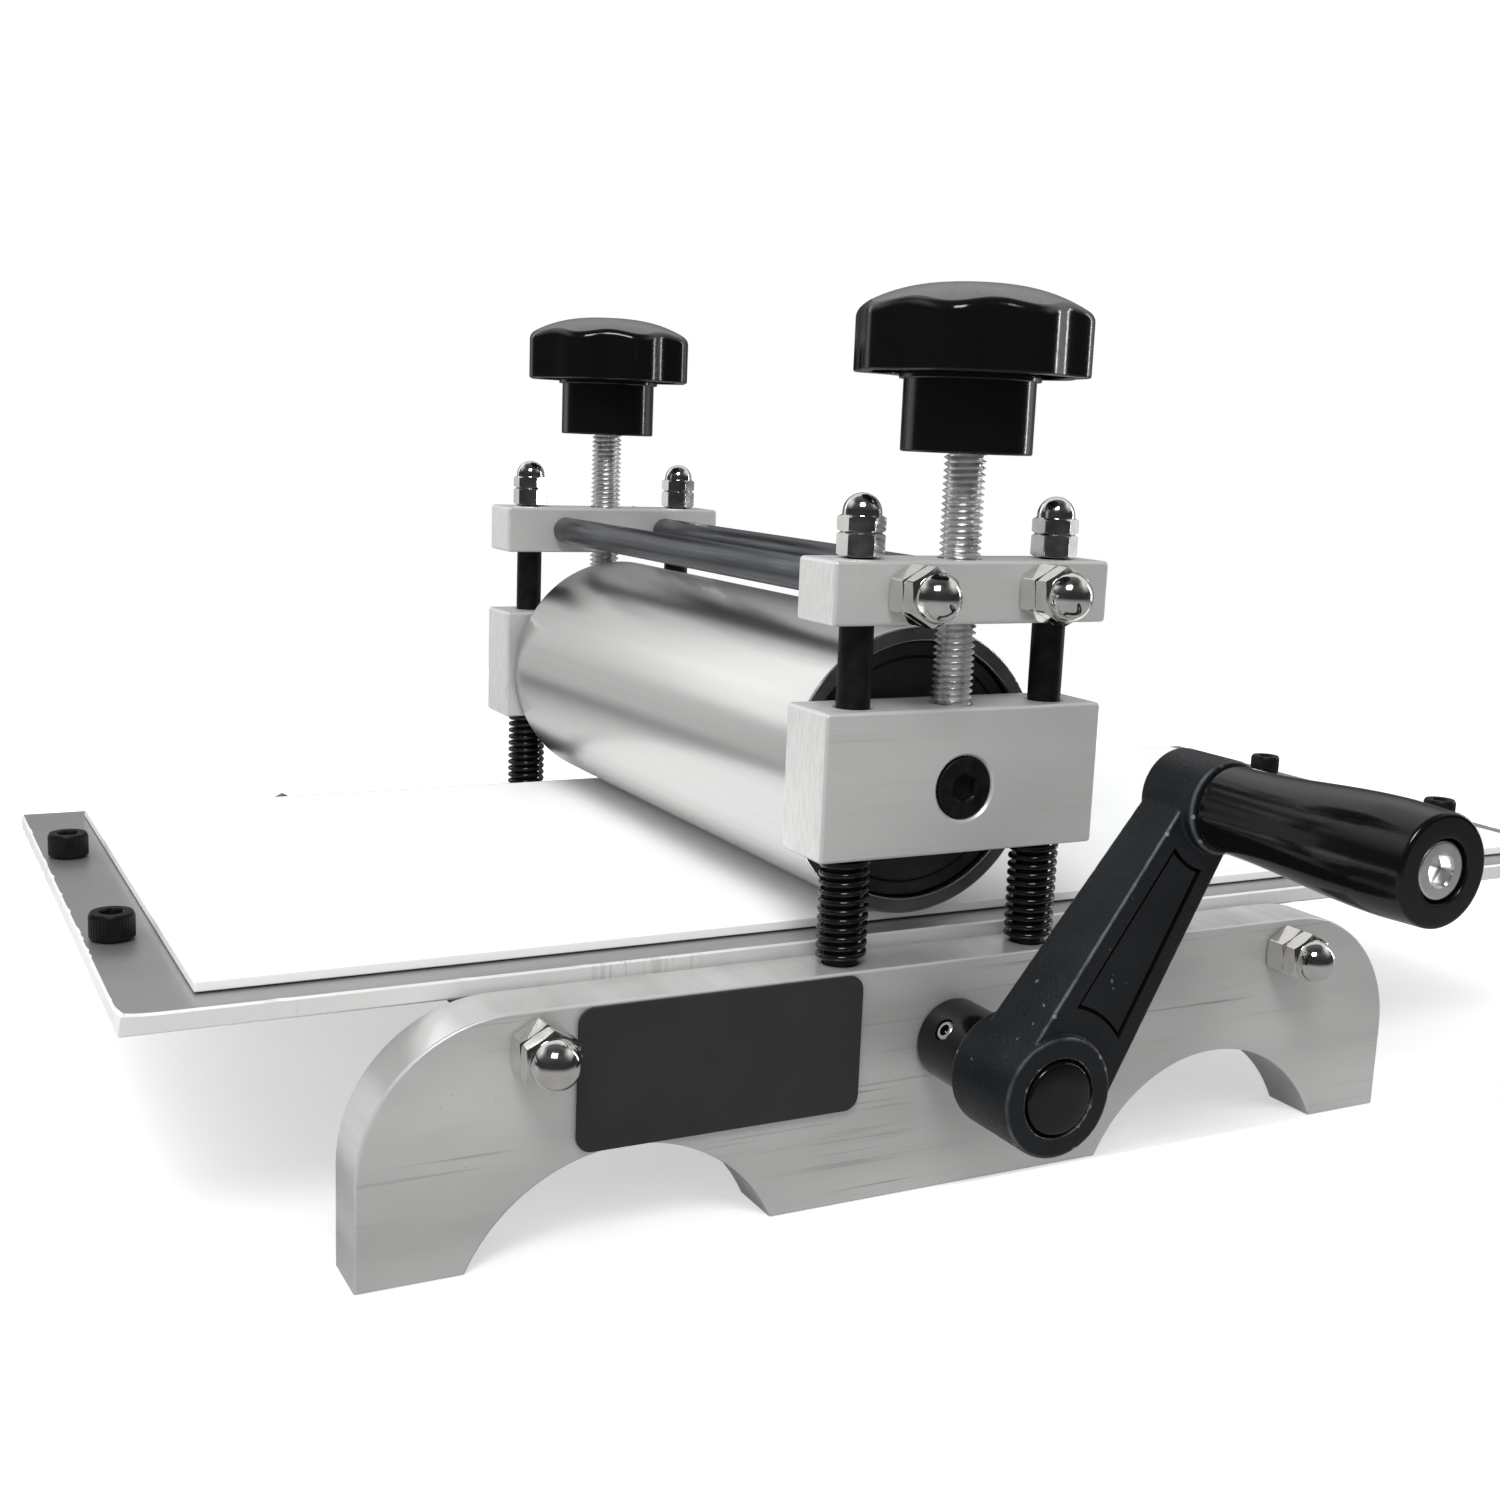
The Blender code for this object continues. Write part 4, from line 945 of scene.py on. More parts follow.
def guide_posts(material):
    stud = post_stud_diameter / 2
    for side, end in corners:
        name = f"guide_post_{side}_{end}"
        size = size_of(name)
        radius = size.x / 2
        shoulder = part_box(f"top_block_{side}")[0].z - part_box(name)[0].z - seat_gap
        points = [(radius - post_foot_chamfer, 0), (radius, 0, soft_ease), (radius, shoulder, fine_ease),
                  (stud, shoulder), (stud, size.z)]
        turned_piece(name, points, foot_of(name), upright, material, "frame", closed=False)


def spring_path(radius, height):
    """Points of one wire from seat to seat"""
    climb = height - spring_wire
    turns = round((height - 2 * spring_wire) / spring_pitch)
    steps = turns * coil_points_per_turn
    points = []
    for step in range(steps + 1):
        angle = 2 * pi * step / coil_points_per_turn
        level = spring_wire / 2 + climb * step / steps
        points.append(Vector((radius * cos(angle), radius * sin(angle), level)))
    return points


def wire_form(points, wire):
    """A round wire swept along points that climb round the Z axis"""
    loops = []
    for index, point in enumerate(points):
        along = (points[min(index + 1, len(points) - 1)] - points[max(index - 1, 0)]).normalized()
        out = Vector((point.x, point.y, 0)).normalized()
        across = along.cross(out).normalized()
        offsets = [out * cos(angle) + across * sin(angle) for angle in even_angles(coil_sides)]
        loops.append([point + offset * wire / 2 for offset in offsets])
    return skinned(loops)


def return_springs(material):
    for side, end in corners:
        name = f"return_spring_{side}_{end}"
        post = foot_of(f"guide_post_{side}_{end}")
        low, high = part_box(name)
        radius = (high.x - post.x) - spring_wire / 2
        form = wire_form(spring_path(radius, high.z - low.z), spring_wire)
        spring = dress(name, moved(form, (post.x, post.y, low.z)), material, None)
        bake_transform(spring)


def drilled_bar(name, holes, material, end_material, body):
    """A square bar with its holes and two sawn ends"""
    low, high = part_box(name)
    reach = high.x - 2 * block_edge
    bar = dress(name, carved(block(low, high, block_edge), *holes), material, body)
    refinish(bar, end_material, lambda face: abs(face.center.x) > reach and abs(face.normal.x) > flat_facing)


def top_blocks(material, end_material):
    for side in sides:
        name = f"top_block_{side}"
        low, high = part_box(name)
        tall = high.z - low.z + plate_edge
        middle = (0, foot_of(f"guide_post_{side}_left").y, low.z)
        holes = [moved(pin(screw_hole / 2, -plate_edge, tall), middle)]
        for end in ends:
            post = foot_of(f"guide_post_{side}_{end}")
            holes.append(through_hole(stud_hole, name, centre_of(f"top_rod_{end}")))
            holes.append(moved(pin(post_stud_hole / 2, -plate_edge, tall), (post.x, post.y, low.z)))
        drilled_bar(name, holes, material, end_material, "frame")


def bearing_blocks(material, end_material):
    """Blocks with a sunk seat for the pivot screw, one on top for the pressure screw, and two post holes"""
    bore = pivot_diameter / 2 + seat_gap
    seat = pivot_head_diameter / 2 + seat_gap
    seat_floor = -pivot_head_height - seat_gap
    post_bore = post_hole / 2
    for side, other in (sides, sides[::-1]):
        name = f"bearing_block_{side}"
        low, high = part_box(name)
        tall = high.z - low.z
        points = [(bore, low.y - high.y - plate_edge), (bore, seat_floor), (seat, seat_floor),
                  (seat, -seat_chamfer), (seat + seat_chamfer, 0), (seat + 2 * seat_chamfer, seat_chamfer)]
        outer_face = seat_of(f"roller_pivot_{side}", other)
        middle = (0, foot_of(f"guide_post_{side}_left").y, high.z)
        holes = [moved(lathe(points), outer_face, outward[side]),
                 moved(pin(screw_hole / 2, -screw_seat_depth, plate_edge), middle)]
        for end in ends:
            post = foot_of(f"guide_post_{side}_{end}")
            points = [(post_bore, -plate_edge), (post_bore, tall - seat_gap), (post_bore + seat_gap, tall),
                      (post_bore + seat_gap, tall + plate_edge)]
            holes.append(moved(lathe(points), (post.x, post.y, low.z)))
        drilled_bar(name, holes, material, end_material, "carriage")


def pivot_screws(material):
    shank = pivot_diameter / 2
    head = pivot_head_diameter / 2
    for side in sides:
        name = f"roller_pivot_{side}"
        top = size_of(name).y
        under = top - pivot_head_height
        points = [(shank - seat_gap, 0), (shank, seat_gap), (shank, under), (head, under),
                  (head, top, soft_ease), (head / 2, top)]
        form = socket_screw(points, pivot_socket, pivot_socket_depth, wide_mouth)
        dress(name, moved(form, seat_of(name, side), outward[side]), material, "carriage")


def upper_roller(tube_metal, rim_face_metal, disc_metal, race_metal):
    name = "upper_roller"
    centre = centre_of(name)
    half = size_of(name).y / 2
    outside = size_of(name).x / 2
    inside = outside - roller_wall
    points = [(outside, -half, roller_rim_ease), (outside, half, roller_rim_ease),
              (inside, half, roller_rim_ease), (inside, -half, roller_rim_ease)]
    roller = turned_piece(name, points, centre, outward["far"], tube_metal, name, fine_sides)
    refinish(roller, rim_face_metal, lambda face: abs(face.normal.y) > flat_facing)
    for side in sides:
        roller_end(side, centre, disc_metal)
        roller_bearing(side, centre, race_metal)


def roller_end(side, centre, material):
    """A sunk disc with a turned groove near its rim"""
    name = f"roller_end_{side}"
    size = size_of(name)
    thick = size.y
    rim = size.x / 2
    hole = disc_hole / 2
    groove = rim * disc_groove_share
    points = [(rim, 0), (rim, thick, soft_ease), (groove, thick),
              (groove - disc_groove / 2, thick - disc_groove), (groove - disc_groove, thick),
              (hole, thick, fine_ease), (hole, 0)]
    place = (centre.x, seat_of(name, side).y, centre.z)
    turned_piece(name, points, place, outward[side], material, "upper_roller", fine_sides)


def roller_bearing(side, centre, material):
    """Two races with a sunk shield between them"""
    name = f"roller_bearing_{side}"
    size = size_of(name)
    thick = size.y
    outer = size.x / 2
    bore = bearing_bore / 2
    shield = thick - shield_depth
    points = [(outer, 0, fine_ease), (outer, thick, fine_ease), (outer - race_wall, thick),
              (outer - race_wall, shield), (bore + race_wall, shield), (bore + race_wall, thick),
              (bore, thick, fine_ease), (bore, 0, fine_ease)]
    place = (centre.x, seat_of(name, side).y, centre.z)
    turned_piece(name, points, place, outward[side], material, "upper_roller")


def thread_form(radius, length):
    """A right handed thread whose rows climb with its helix, cut off square at both ends"""
    form = bmesh.new()
    angles = even_angles(thread_sides)
    rows = []
    for turn in range(-1, ceil(length / thread_pitch) + 2):
        for place, share in thread_profile:
            out = radius - thread_depth * (1 - share)
            row = []
            for angle in angles:
                climb = (turn + place + angle / (2 * pi)) * thread_pitch
                row.append(form.verts.new((out * cos(angle), out * sin(angle), climb)))
            rows.append(row)
    for index, (lower, upper) in enumerate(zip(rows, rows[1:])):
        for step in range(thread_sides - 1):
            form.faces.new((lower[step], lower[step + 1], upper[step + 1], upper[step]))
        after = index + len(thread_profile)
        if after + 1 < len(rows):
            form.faces.new((lower[-1], rows[after][0], rows[after + 1][0], upper[-1]))
    for height, out in ((0, -1), (length, 1)):
        everything = form.verts[:] + form.edges[:] + form.faces[:]
        cut = bmesh.ops.bisect_plane(form, geom=everything, plane_co=(0, 0, height), plane_no=(0, 0, out),
                                     clear_outer=True)
        rim = [part for part in cut["geom_cut"] if isinstance(part, bmesh.types.BMEdge)]
        bmesh.ops.holes_fill(form, edges=rim)
    return form


def pressure_screws(material):
    for side in sides:
        name = f"pressure_screw_{side}"
        size = size_of(name)
        dress(name, moved(thread_form(size.x / 2, size.z), foot_of(name)), material, name)


def lobed_ring(radius, height):
    return waved_ring(radius, height, knob_lobes, knob_lobe_depth)


def dome_height(radius, rim, top):
    """The low dome of a knob, which its scalloped side cuts into a wavy edge"""
    return top - knob_dome_rise * (radius / rim) ** knob_dome_power


def shoulder_ring(rim, top, share):
    """One ring of the rounded edge between a knob's side and its dome"""
    def ring(angle):
        radius = lobed_ring(rim, 0)(angle)[0]
        corner = Vector((radius, dome_height(radius, rim, top)))
        low = corner - Vector((0, knob_shoulder))
        inward = radius - knob_shoulder
        high = Vector((inward, dome_height(inward, rim, top)))
        return tuple(low.lerp(corner, share).lerp(corner.lerp(high, share), share))
    return ring


def dome_ring(rim, top, share):
    """One ring of the dome, round at the middle and scalloped at its edge"""
    def ring(angle):
        scallop = (lobed_ring(rim, 0)(angle)[0] - knob_shoulder) / (rim - knob_shoulder)
        radius = (rim - knob_shoulder) * share * (1 - share ** knob_scallop_power * (1 - scallop))
        return radius, dome_height(radius, rim, top)
    return ring


def knob_form(rim, top):
    """A hollow lobed head on a round stem: the rounded shoulder runs into a low dome"""
    hole = screw_hole / 2
    stem = knob_stem_radius
    collar_low = knob_stem_height - knob_collar_height
    ceiling = knob_stem_height + knob_skirt_depth
    inner = rim - knob_skirt_wall
    stack = turned_rings([(hole, screw_in_knob), (hole, 0), (stem, 0, knob_edge), (stem, collar_low),
                          (knob_collar_radius, collar_low, fine_ease), (knob_collar_radius, ceiling)])
    skirt = [(inner, ceiling), (inner, knob_stem_height, soft_ease), (rim, knob_stem_height, knob_edge),
             (rim, ceiling)]
    stack += [lobed_ring(*point) for point in eased(skirt)]
    stack += [shoulder_ring(rim, top, row / knob_shoulder_rows) for row in range(knob_shoulder_rows + 1)]
    stack += [dome_ring(rim, top, 1 - row / (dome_rows + 1)) for row in range(1, dome_rows + 1)]
    return ring_body(stack, even_angles(lobe_sides))


def knobs(material, dome_sheen_material):
    for side in sides:
        name = f"knob_{side}"
        size = size_of(name)
        edge_ring = dome_ring(size.x / 2, size.z, 1)
        form = knob_form(size.x / 2, size.z)
        # the dome's upward faces take the lighter finish, a painted sheen
        for face in form.faces:
            centre = face.calc_center_median()
            inside = centre.xy.length < edge_ring(atan2(centre.y, centre.x))[0]
            if inside and centre.z > knob_stem_height and face.normal.z > 0:
                face.material_index = 1
        dress(name, moved(form, foot_of(name)), material, f"pressure_screw_{side}", dome_sheen_material)


def bed_path(half_length, half_width):
    """Close steps round the bed, with tiny round corners"""
    centres = [Vector((across * (half_length - bed_edge), along * (half_width - bed_edge)))
               for across, along in ((1, -1), (1, 1), (-1, 1), (-1, -1))]
    path = []
    for index, centre in enumerate(centres):
        angle = index * pi / 2
        path += arc(centre, bed_edge, angle - pi / 2, angle, bed_corner_steps)
        start = Vector(path[-1])
        end = centres[(index + 1) % len(centres)] + Vector((cos(angle), sin(angle))) * bed_edge
        steps = ceil((end - start).length / bed_step)
        path += [tuple(start.lerp(end, step / steps)) for step in range(1, steps)]
    return path


def nick_at(place, nicks):
    """How far the small nicks bite into an edge at one place"""
    bite = 0.0
    for centre, depth, width in nicks:
        away = (Vector(place) - centre).length / width
        if away < nick_reach:
            bite += depth * exp(-away * away)
    return bite


def edge_nicks(path, seed):
    chance = random.Random(seed)
    nicks = []
    for _ in range(nick_count):
        place = Vector(chance.choice(path))
        depth = nick_depth * chance.uniform(*nick_depth_shares)
        nicks.append((place, depth, nick_width * chance.uniform(*nick_width_shares)))
    return nicks


def bed_plate(top_metal, side_metal):
    """A plate with nicked edges and one chipped corner; only its two faces have the top's finish"""
    low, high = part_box("bed_plate")
    centre = centre_of("bed_plate")
    half_length = (high.x - low.x) / 2
    half_width = (high.y - low.y) / 2
    path = bed_path(half_length, half_width)
    chipped_corner = (Vector((-half_length, -half_width)), chip_depth, chip_width)
    upper_nicks = edge_nicks(path, upper_nick_seed) + [chipped_corner]
    lower_nicks = edge_nicks(path, lower_nick_seed)
    levels = ((low.z, bed_edge, lower_nicks, 1.0), (low.z + bed_edge, 0, lower_nicks, nick_side_share),
              (high.z - bed_edge, 0, upper_nicks, nick_side_share), (high.z, bed_edge, upper_nicks, 1.0))
    loops = []
    for height, inset, nicks, share in levels:
        loop = []
        for place in path:
            bite = inset + share * nick_at(place, nicks)
            x = max(-half_length + bite, min(half_length - bite, place[0]))
            y = max(-half_width + bite, min(half_width - bite, place[1]))
            loop.append((x, y, height))
        loops.append(loop)
    form = skinned(loops)
    for face in form.faces[2:]:
        face.material_index = 1
    moved(form, (centre.x, centre.y, 0))
    holes = []
    for end in ends:
        for side in sides:
            screw = foot_of(f"stop_screw_{end}_{side}")
            hole = pin(stop_hole / 2, -plate_edge, high.z - low.z + plate_edge)
            holes.append(moved(hole, (screw.x, screw.y, low.z)))
    dress("bed_plate", carved(form, *holes), top_metal, "bed", side_metal)


def press_board(material):
    dress("press_board", block(*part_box("press_board"), board_edge), material, "bed")


def stop_screws(material):
    """Cap screws with a knurled head"""
    shank = stop_screw_diameter / 2
    bed_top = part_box("bed_plate")[1].z
    for end in ends:
        for side in sides:
            name = f"stop_screw_{end}_{side}"
            size = size_of(name)
            head = size.x / 2
            top = size.z
            under = bed_top + seat_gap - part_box(name)[0].z
            stack = [round_ring(shank, 0), round_ring(shank, under), round_ring(head - seat_gap, under),
                     waved_ring(head, under + seat_gap, knurl_count, knurl_depth),
                     waved_ring(head, top - 2 * stop_head_ease, knurl_count, knurl_depth),
                     round_ring(head - seat_gap / 2, top - stop_head_ease),
                     round_ring(head - stop_head_ease, top),
                     *socket_rings(stop_socket, top, stop_socket_depth, narrow_mouth)]
            dress(name, moved(ring_body(stack, even_angles(knurl_sides)), foot_of(name)), material, "bed")


def lower_drive(roller_metal, shaft_metal, bush_metal, clip_metal):
    """The small roller under the bed, its shaft, bushes and clip"""
    turn = outward["far"]
    centre = centre_of("lower_roller")
    size = size_of("lower_roller")
    half = size.y / 2
    radius = size.x / 2
    points = [(radius, -half, lower_roller_ease), (radius, half, lower_roller_ease),
              (shaft_seat_radius, half, fine_ease), (shaft_seat_radius, -half, fine_ease)]
    turned_piece("lower_roller", points, centre, turn, roller_metal, "crank", fine_sides)
    low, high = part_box("drive_shaft")
    clip_low, clip_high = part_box("shaft_clip")
    groove = shaft_radius - clip_groove_depth
    groove_start = clip_low.y - seat_gap
    groove_end = clip_high.y + seat_gap
    points = [(shaft_radius, low.y), (shaft_radius, groove_start), (groove, groove_start),
              (groove, groove_end), (shaft_radius, groove_end), (shaft_radius, high.y, shaft_end_ease),
              (shaft_radius / 2, high.y)]
    turned_piece("drive_shaft", points, (centre.x, 0, centre.z), turn, shaft_metal, "crank", closed=False)
    thick = clip_high.y - clip_low.y
    rim = (clip_high.x - clip_low.x) / 2
    bore = groove + seat_gap
    points = [(rim, 0, tiny_ease), (rim, thick, tiny_ease), (bore, thick), (bore, 0)]
    turned_piece("shaft_clip", points, seat_of("shaft_clip", "far"), turn, clip_metal, "crank")
    for side in sides:
        shaft_bush(side, bush_metal)


def shaft_bush(side, material):
    """A flanged bush, with its flange on the inner face of the side plate"""
    name = f"shaft_bush_{side}"
    size = size_of(name)
    length = size.y
    flange = size.x / 2
    step = length - size_of(f"side_plate_{side}").y - seat_gap
    body = bush_hole / 2 - bush_clearance
    points = [(flange, 0, tiny_ease), (flange, step, tiny_ease), (body, step), (body, length),
              (shaft_seat_radius, length, tiny_ease), (shaft_seat_radius, 0, tiny_ease)]
    turned_piece(name, points, seat_of(name, side), outward[side], material, "frame")


def crank_frame():
    """The crank's own axes: +Z along the arm and -Y out of the press, from the two crank joints"""
    places = {joint["name"]: Vector(joint["pos_m"]) for joint in frame["joints"] if "pos_m" in joint}
    arm = places["grip_spin"] - places["crank_turn"]
    hub = places["crank_turn"] + Vector((0, crank_rear, 0))
    return Matrix.Translation(hub) @ Matrix.Rotation(atan2(arm.x, arm.z), 4, "Y"), arm.length


def on_crank(form, height=0):
    """A turned form laid along -Y of the crank's own axes, so far up the arm"""
    return moved(form, (0, 0, height), outward["crank"])


def dress_on_crank(name, form, material, axes, *others, body="crank"):
    """A piece whose form is in the crank's own axes"""
    form.transform(axes)
    return dress(name, form, material, body, *others)


def arm_face_at(length, throw):
    return arm_face_at_hub + (arm_face_at_grip - arm_face_at_hub) * length / throw


def arm_bar(throw):
    """The tapered bar between the two hubs"""
    loops = []
    for length, half, face in ((0, arm_half_at_hub, arm_face_at_hub),
                               (throw, arm_half_at_grip, arm_face_at_grip)):
        profile = ((-half, arm_rear), (half, arm_rear), (half, face), (-half, face))
        loops.append([(across, -depth, length) for across, depth in profile])
    form = skinned(loops)
    return bevelled(form, form.edges[:], arm_ease, arm_edge_steps)


def panel_outline(throw, shrink):
    """The sunk panel: straight long sides, and ends that follow the two hubs"""
    outline = []
    for centre, from_centre, half, sign in ((0, panel_from_hub, panel_half_at_hub, 1),
                                            (throw, panel_from_grip, panel_half_at_grip, -1)):
        radius = from_centre + shrink
        reach = asin((half - shrink) / radius)
        for step in range(panel_arc_steps + 1):
            angle = sign * reach * (2 * step / panel_arc_steps - 1)
            outline.append((radius * sin(angle), centre + sign * radius * cos(angle)))
    return outline


def panel_cutter(throw, shrink, depth):
    """A cutter that follows the slope of the arm's face"""
    outline = panel_outline(throw, shrink)
    return skinned([[(x, level - arm_face_at(z, throw), z) for x, z in outline]
                    for level in (depth, -panel_depth)])


def arm_finish(place, facing, throw):
    """Which of the arm's finishes a face takes: coat, gloss collar, groove painted darker as its shade, or
    the panel's unworn coat
    """
    if place.y > -hub_start:
        return 1
    taper = (panel_half_at_grip - panel_half_at_hub) * place.z / throw
    narrow = abs(place.x) < panel_half_at_hub + taper + panel_border
    between = panel_from_hub - panel_border < place.z < throw - panel_from_grip + panel_border
    sunk = arm_face_at(place.z, throw) + place.y
    if not narrow or not between or sunk > 2 * (panel_depth + panel_groove_depth):
        return 0
    shallow = sunk < panel_depth + panel_groove_depth * panel_floor_share
    return 3 if shallow and abs(facing.y) > panel_floor_facing else 2


def arm_casting(throw):
    """Hubs and arm melted together"""
    hub = [(collar_radius / 2, collar_start), (collar_radius, collar_start, hub_ease),
           (collar_radius, hub_start), (hub_radius, hub_start, hub_ease),
           (hub_radius, hub_face, hub_ease), (hub_radius / 2, hub_face)]
    grip_hub = [(grip_hub_radius / 2, grip_hub_rear), (grip_hub_radius, grip_hub_rear, hub_ease),
                (grip_hub_radius, grip_hub_face, hub_ease), (grip_hub_radius / 2, grip_hub_face)]
    whole = joined(on_crank(lathe(hub)), on_crank(lathe(grip_hub), throw), arm_bar(throw))
    body = added("passing", mesh_of("passing", whole))
    melt = body.modifiers.new("melt", "REMESH")
    melt.mode = "VOXEL"
    melt.voxel_size = arm_voxel
    soften = body.modifiers.new("soften", "SMOOTH")
    soften.iterations = arm_smoothing
    return settled(body)


def crank_arm(material, collar_material, groove_shade_material, panel_material, axes, throw):
    """A casting with its seats, its panel and the groove round that cut clean"""
    over = carve_overrun
    cap_seat = [(cap_seat_radius, hub_face - cap_depth - seat_gap), (cap_seat_radius, hub_face + over)]
    shaft_seat = pin(shaft_seat_radius, collar_start - over, shaft_in_crank + seat_gap)
    grip_bore = pin(grip_bore_radius, grip_hub_rear - over, grip_hub_face + over)
    set_screw_hole = pin(set_screw_radius + seat_gap, shaft_radius, collar_radius + over)
    tools = [on_crank(lathe(cap_seat)), on_crank(shaft_seat), on_crank(grip_bore, throw),
             moved(set_screw_hole, (0, -set_screw_out, 0), leftward), panel_cutter(throw, 0, panel_depth)]
    deep = panel_depth + panel_groove_depth
    groove = carved(panel_cutter(throw, 0, deep), panel_cutter(throw, panel_groove, deep + panel_depth))
    form = carved(carved(arm_casting(throw), *tools), groove)
    # faces in the groove take the darker finish, a painted shade of the recess
    for face in form.faces:
        face.material_index = arm_finish(face.calc_center_median(), face.normal, throw)
    dress_on_crank("crank_arm", form, material, axes, collar_material, groove_shade_material, panel_material)


def hub_cap(material, axes):
    rear = hub_face - cap_depth
    top = hub_face + cap_rise
    points = [(cap_radius / 2, rear), (cap_radius, rear),
              (cap_radius, hub_face + cap_rise * cap_edge_share, cap_edge_ease),
              (cap_radius * cap_top_share, top, cap_top_ease), (cap_radius * cap_tip_share, top)]
    dress_on_crank("crank_hub_cap", on_crank(lathe(points)), material, axes)


def set_screw(material, socket_shade_material, axes):
    """A small screw in the collar's left side, its socket painted dark as the shade inside it"""
    top = collar_radius - seat_gap
    points = [(set_screw_radius, shaft_radius + seat_gap), (set_screw_radius, top - seat_gap),
              (set_screw_radius - seat_gap, top), (0, top)]
    form = socket_screw(points, set_screw_socket, set_screw_socket_depth, narrow_mouth)
    moved(form, (0, -set_screw_out, 0), leftward)
    screw = dress_on_crank("crank_set_screw", form, material, axes)
    middle = axes @ Vector((0, -set_screw_out, 0))
    along = axes.to_3x3() @ Vector((-1, 0, 0))

    # faces inside the socket take a black finish as painted shade
    def in_shaded_socket(face):
        away = face.center - middle
        return (away - along * away.dot(along)).length < set_screw_radius * set_screw_shade_share
    refinish(screw, socket_shade_material, in_shaded_socket)


def grip_screw(material, axes, throw):
    """The screw that the grip turns on, its head sunk in the grip's end"""
    top = grip_end - grip_head_recess
    under = top - grip_head_height
    shank = stud_diameter / 2
    points = [(shank, grip_screw_start), (shank, under), (grip_head_radius, under),
              (grip_head_radius, top, grip_head_ease), (grip_head_radius / 2, top)]
    form = socket_screw(points, grip_socket, grip_socket_depth, wide_mouth)
    dress_on_crank("grip_screw", on_crank(form, throw), material, axes)


def crank_grip(material, axes, throw):
    """A narrow neck that swells to a belly and thins a little to its end"""
    seat = grip_end - grip_seat_depth
    points = [(grip_bore_radius, seat), (grip_bore_radius, grip_start),
              (grip_neck_radius, grip_start, grip_ease)]
    for row in range(swell_rows + 1):
        share = row / swell_rows
        radius = grip_neck_radius + (grip_belly_radius - grip_neck_radius) * (1 - cos(pi * share)) / 2
        points.append((radius, grip_start + grip_neck_length + grip_swell_length * share))
    points += [(grip_end_radius, grip_end, grip_ease), (grip_seat_radius, grip_end, fine_ease),
               (grip_seat_radius, seat)]
    form = on_crank(lathe(points, fine_sides, True), throw)
    dress_on_crank("crank_grip", form, material, axes, body="grip")


def floor(material):
    """A round table top, cut straight just before the feet, so that the crank can swing past its edge"""
    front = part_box("side_plate_crank")[0].y - table_margin
    turn = asin(front / floor_radius)
    form = bmesh.new()
    form.faces.new([form.verts.new((*place, -floor_drop))
                    for place in arc((0, 0), floor_radius, turn, pi - turn, round_sides)])
    mesh = mesh_of("floor", form)
    mesh.materials.append(material)
    added("floor", mesh)


def looking(way):
    """The turn of a light that shines along a direction"""
    return Vector(way).to_track_quat("-Z", "Y")


def soft_light(name, place, target, size, power, roll):
    """A rectangular soft light that looks at a point"""
    lamp = bpy.data.lights.new(name, "AREA")
    lamp.shape = "RECTANGLE"
    lamp.size, lamp.size_y = size
    lamp.energy = power
    thing = added(name, lamp)
    facing = looking(Vector(target) - Vector(place)).to_matrix().to_4x4()
    thing.matrix_world = Matrix.Translation(place) @ facing @ Matrix.Rotation(roll, 4, "Z")
    thing.visible_camera = False


def ceiling_light():
    """A very wide soft light from above, which glossy surfaces don't mirror"""
    lamp = bpy.data.lights.new("ceiling", "SUN")
    lamp.energy = ceiling_power
    lamp.angle = ceiling_spread
    thing = added("ceiling", lamp)
    thing.rotation_euler = looking(ceiling_way).to_euler()
    thing.visible_glossy = False


def toward(world, way, direction):
    """How far a ray's way points in a direction"""
    return vector_math(world, "DOT_PRODUCT", way, direction)["Value"]


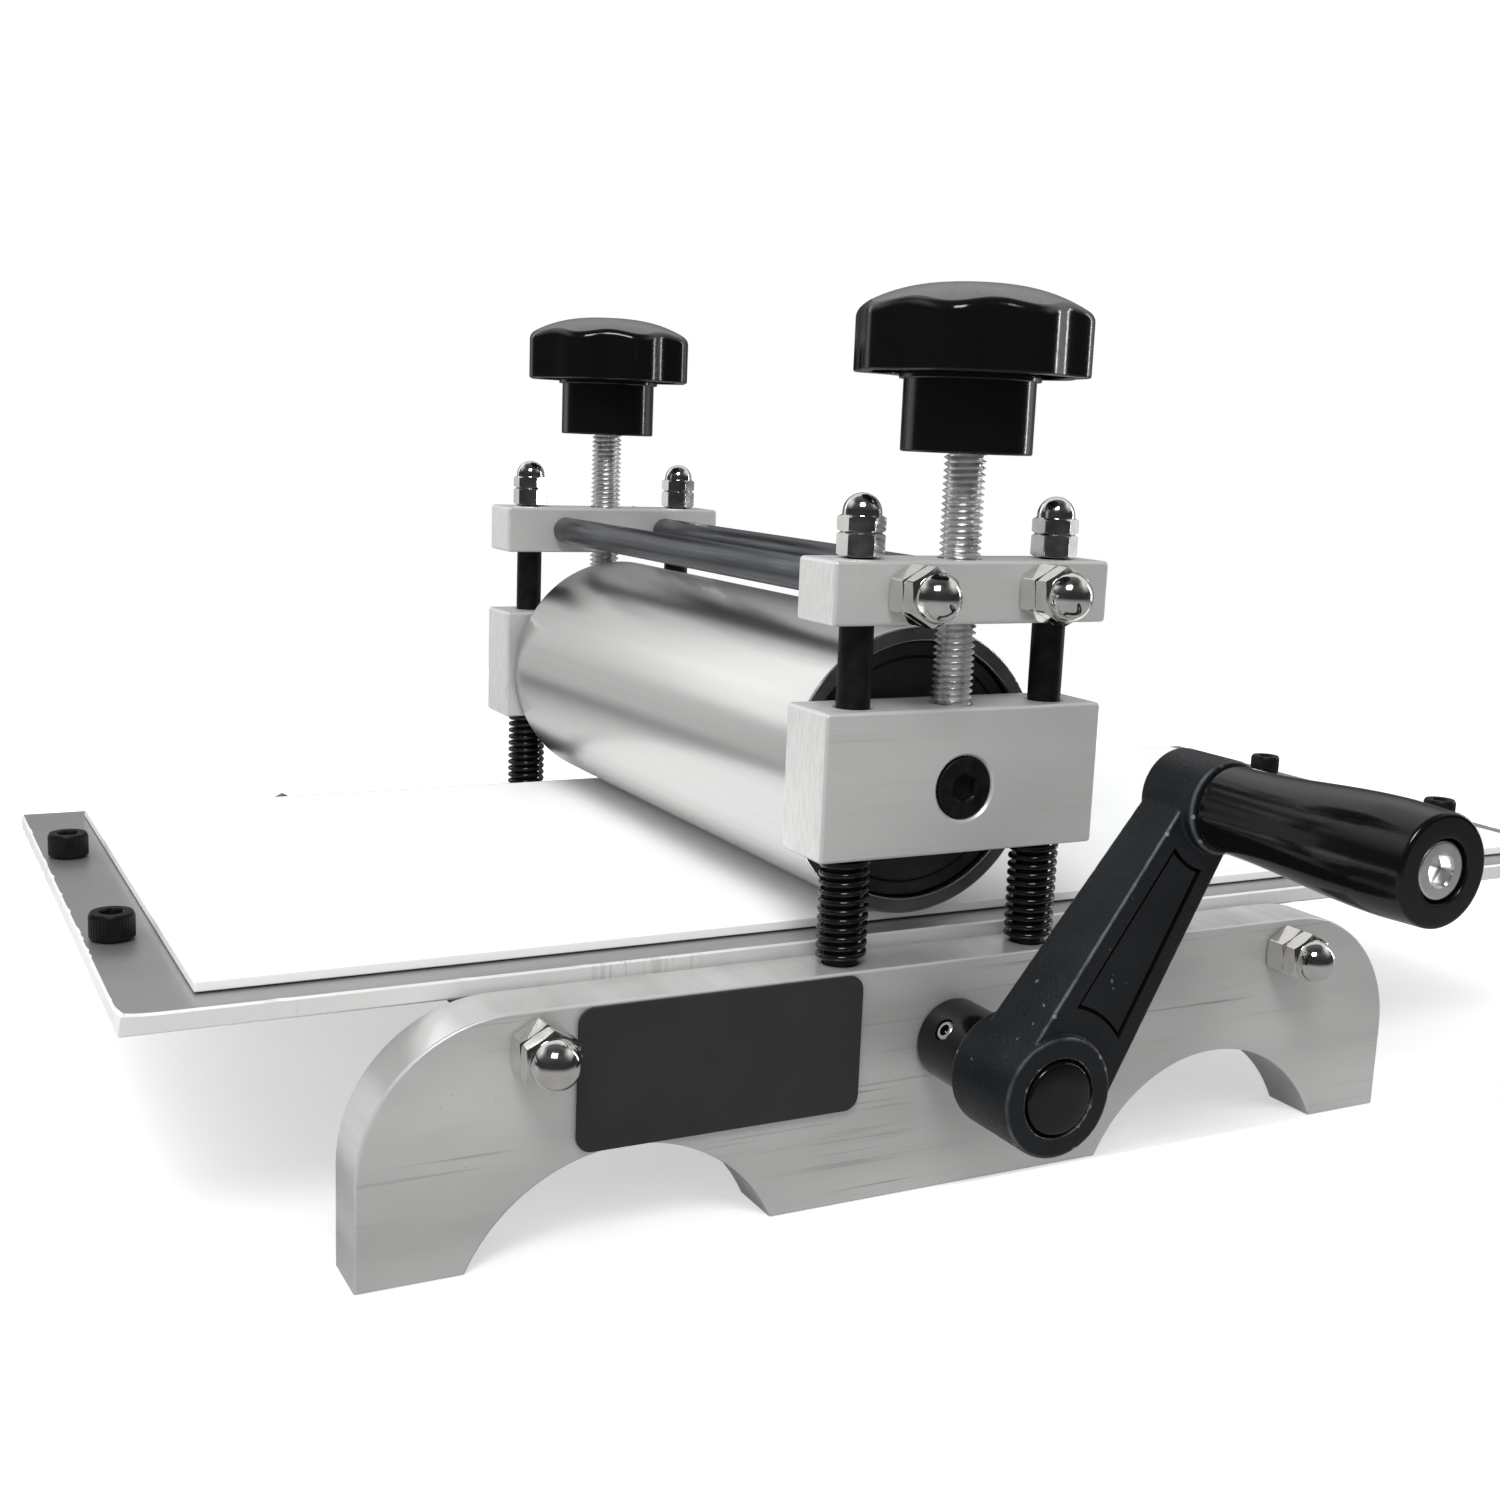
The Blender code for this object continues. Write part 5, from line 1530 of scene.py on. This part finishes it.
def studio():
    """Even light for matt surfaces; glossy ones mirror a room with dark cards and two bright walls"""
    world = bpy.data.worlds.new("studio")
    bpy.context.scene.world = world
    world.use_nodes = True
    way = node(world, "ShaderNodeTexCoord").outputs["Generated"]
    lift = node(world, "ShaderNodeSeparateXYZ", {"Vector": way}).outputs["Z"]
    rays = node(world, "ShaderNodeLightPath").outputs
    walls = shades(world, toward(world, way, room_ahead), *room_walls)
    sky = shades(world, toward(world, way, room_toward), *room_sky)
    upper_room = mixed(world, shades(world, lift, *room_rise), walls, sky)
    room = mixed(world, spread(world, lift, 1.0, 0.0, *room_below_range), upper_room, room_below)
    fill = spread(world, toward(world, way, (-1, 0, 0)), fill_right, fill_left, -1.0, 1.0)
    lit = mixed(world, rays["Is Glossy Ray"], fill, room)
    seen = mixed(world, rays["Is Camera Ray"], lit, 1 / room_power)
    background = world.node_tree.nodes["Background"]
    world.node_tree.links.new(seen, background.inputs["Color"])
    background.inputs["Strength"].default_value = room_power
    ceiling_light()
    for values in soft_lights:
        soft_light(*values)


def camera():
    data = bpy.data.cameras.new("camera")
    data.sensor_width = camera_sensor
    data.lens = camera_lens
    data.clip_start = camera_near
    thing = added("camera", data)
    heading = Matrix.Rotation(-camera_turn, 4, "Z") @ Matrix.Rotation(pi / 2 - camera_tilt, 4, "X")
    thing.matrix_world = Matrix.Translation(camera_place) @ heading @ Matrix.Rotation(camera_roll, 4, "Z")
    bpy.context.scene.camera = thing


def press():
    """Dresses every node of the press"""
    plain = {name: plain_finish(name, **values) for name, values in plain_finishes.items()}
    black = plain["black_steel"]
    gloss = plain["gloss_black"]
    zinc = plain["zinc_screw"]
    turned = plain["turned_metal"]
    race = plain["bearing_steel"]
    sawn = plain["sawn_aluminium"]
    side_plates(drawn_aluminium(*plate_look), milled_edge())
    block_metal = drawn_aluminium(*block_look)
    top_blocks(block_metal, sawn)
    bearing_blocks(block_metal, sawn)
    label_plate(plain["blank_label"])
    tie_rods(plain["dark_rod_steel"])
    nuts(plain["nickel"])
    guide_posts(black)
    return_springs(plain["spring_steel"])
    pivot_screws(black)
    upper_roller(turned, plain["rim_metal"], plain["dark_end_metal"], race)
    pressure_screws(zinc)
    knobs(gloss, plain["satin_sheen_black"])
    bed_plate(plain["bed_metal"], sawn_metal())
    press_board(plain["white_board"])
    stop_screws(black)
    lower_drive(turned, race, plain["bronze"], black)
    axes, throw = crank_frame()
    crank_arm(crank_paint(arm_wear), gloss, plain["groove_shade_paint"], crank_paint(panel_wear), axes, throw)
    hub_cap(gloss, axes)
    set_screw(zinc, gloss, axes)
    grip_screw(zinc, axes, throw)
    crank_grip(gloss, axes, throw)


camera()
studio()
floor(floor_paint())
press()
bpy.context.scene.view_settings.view_transform = "Standard"
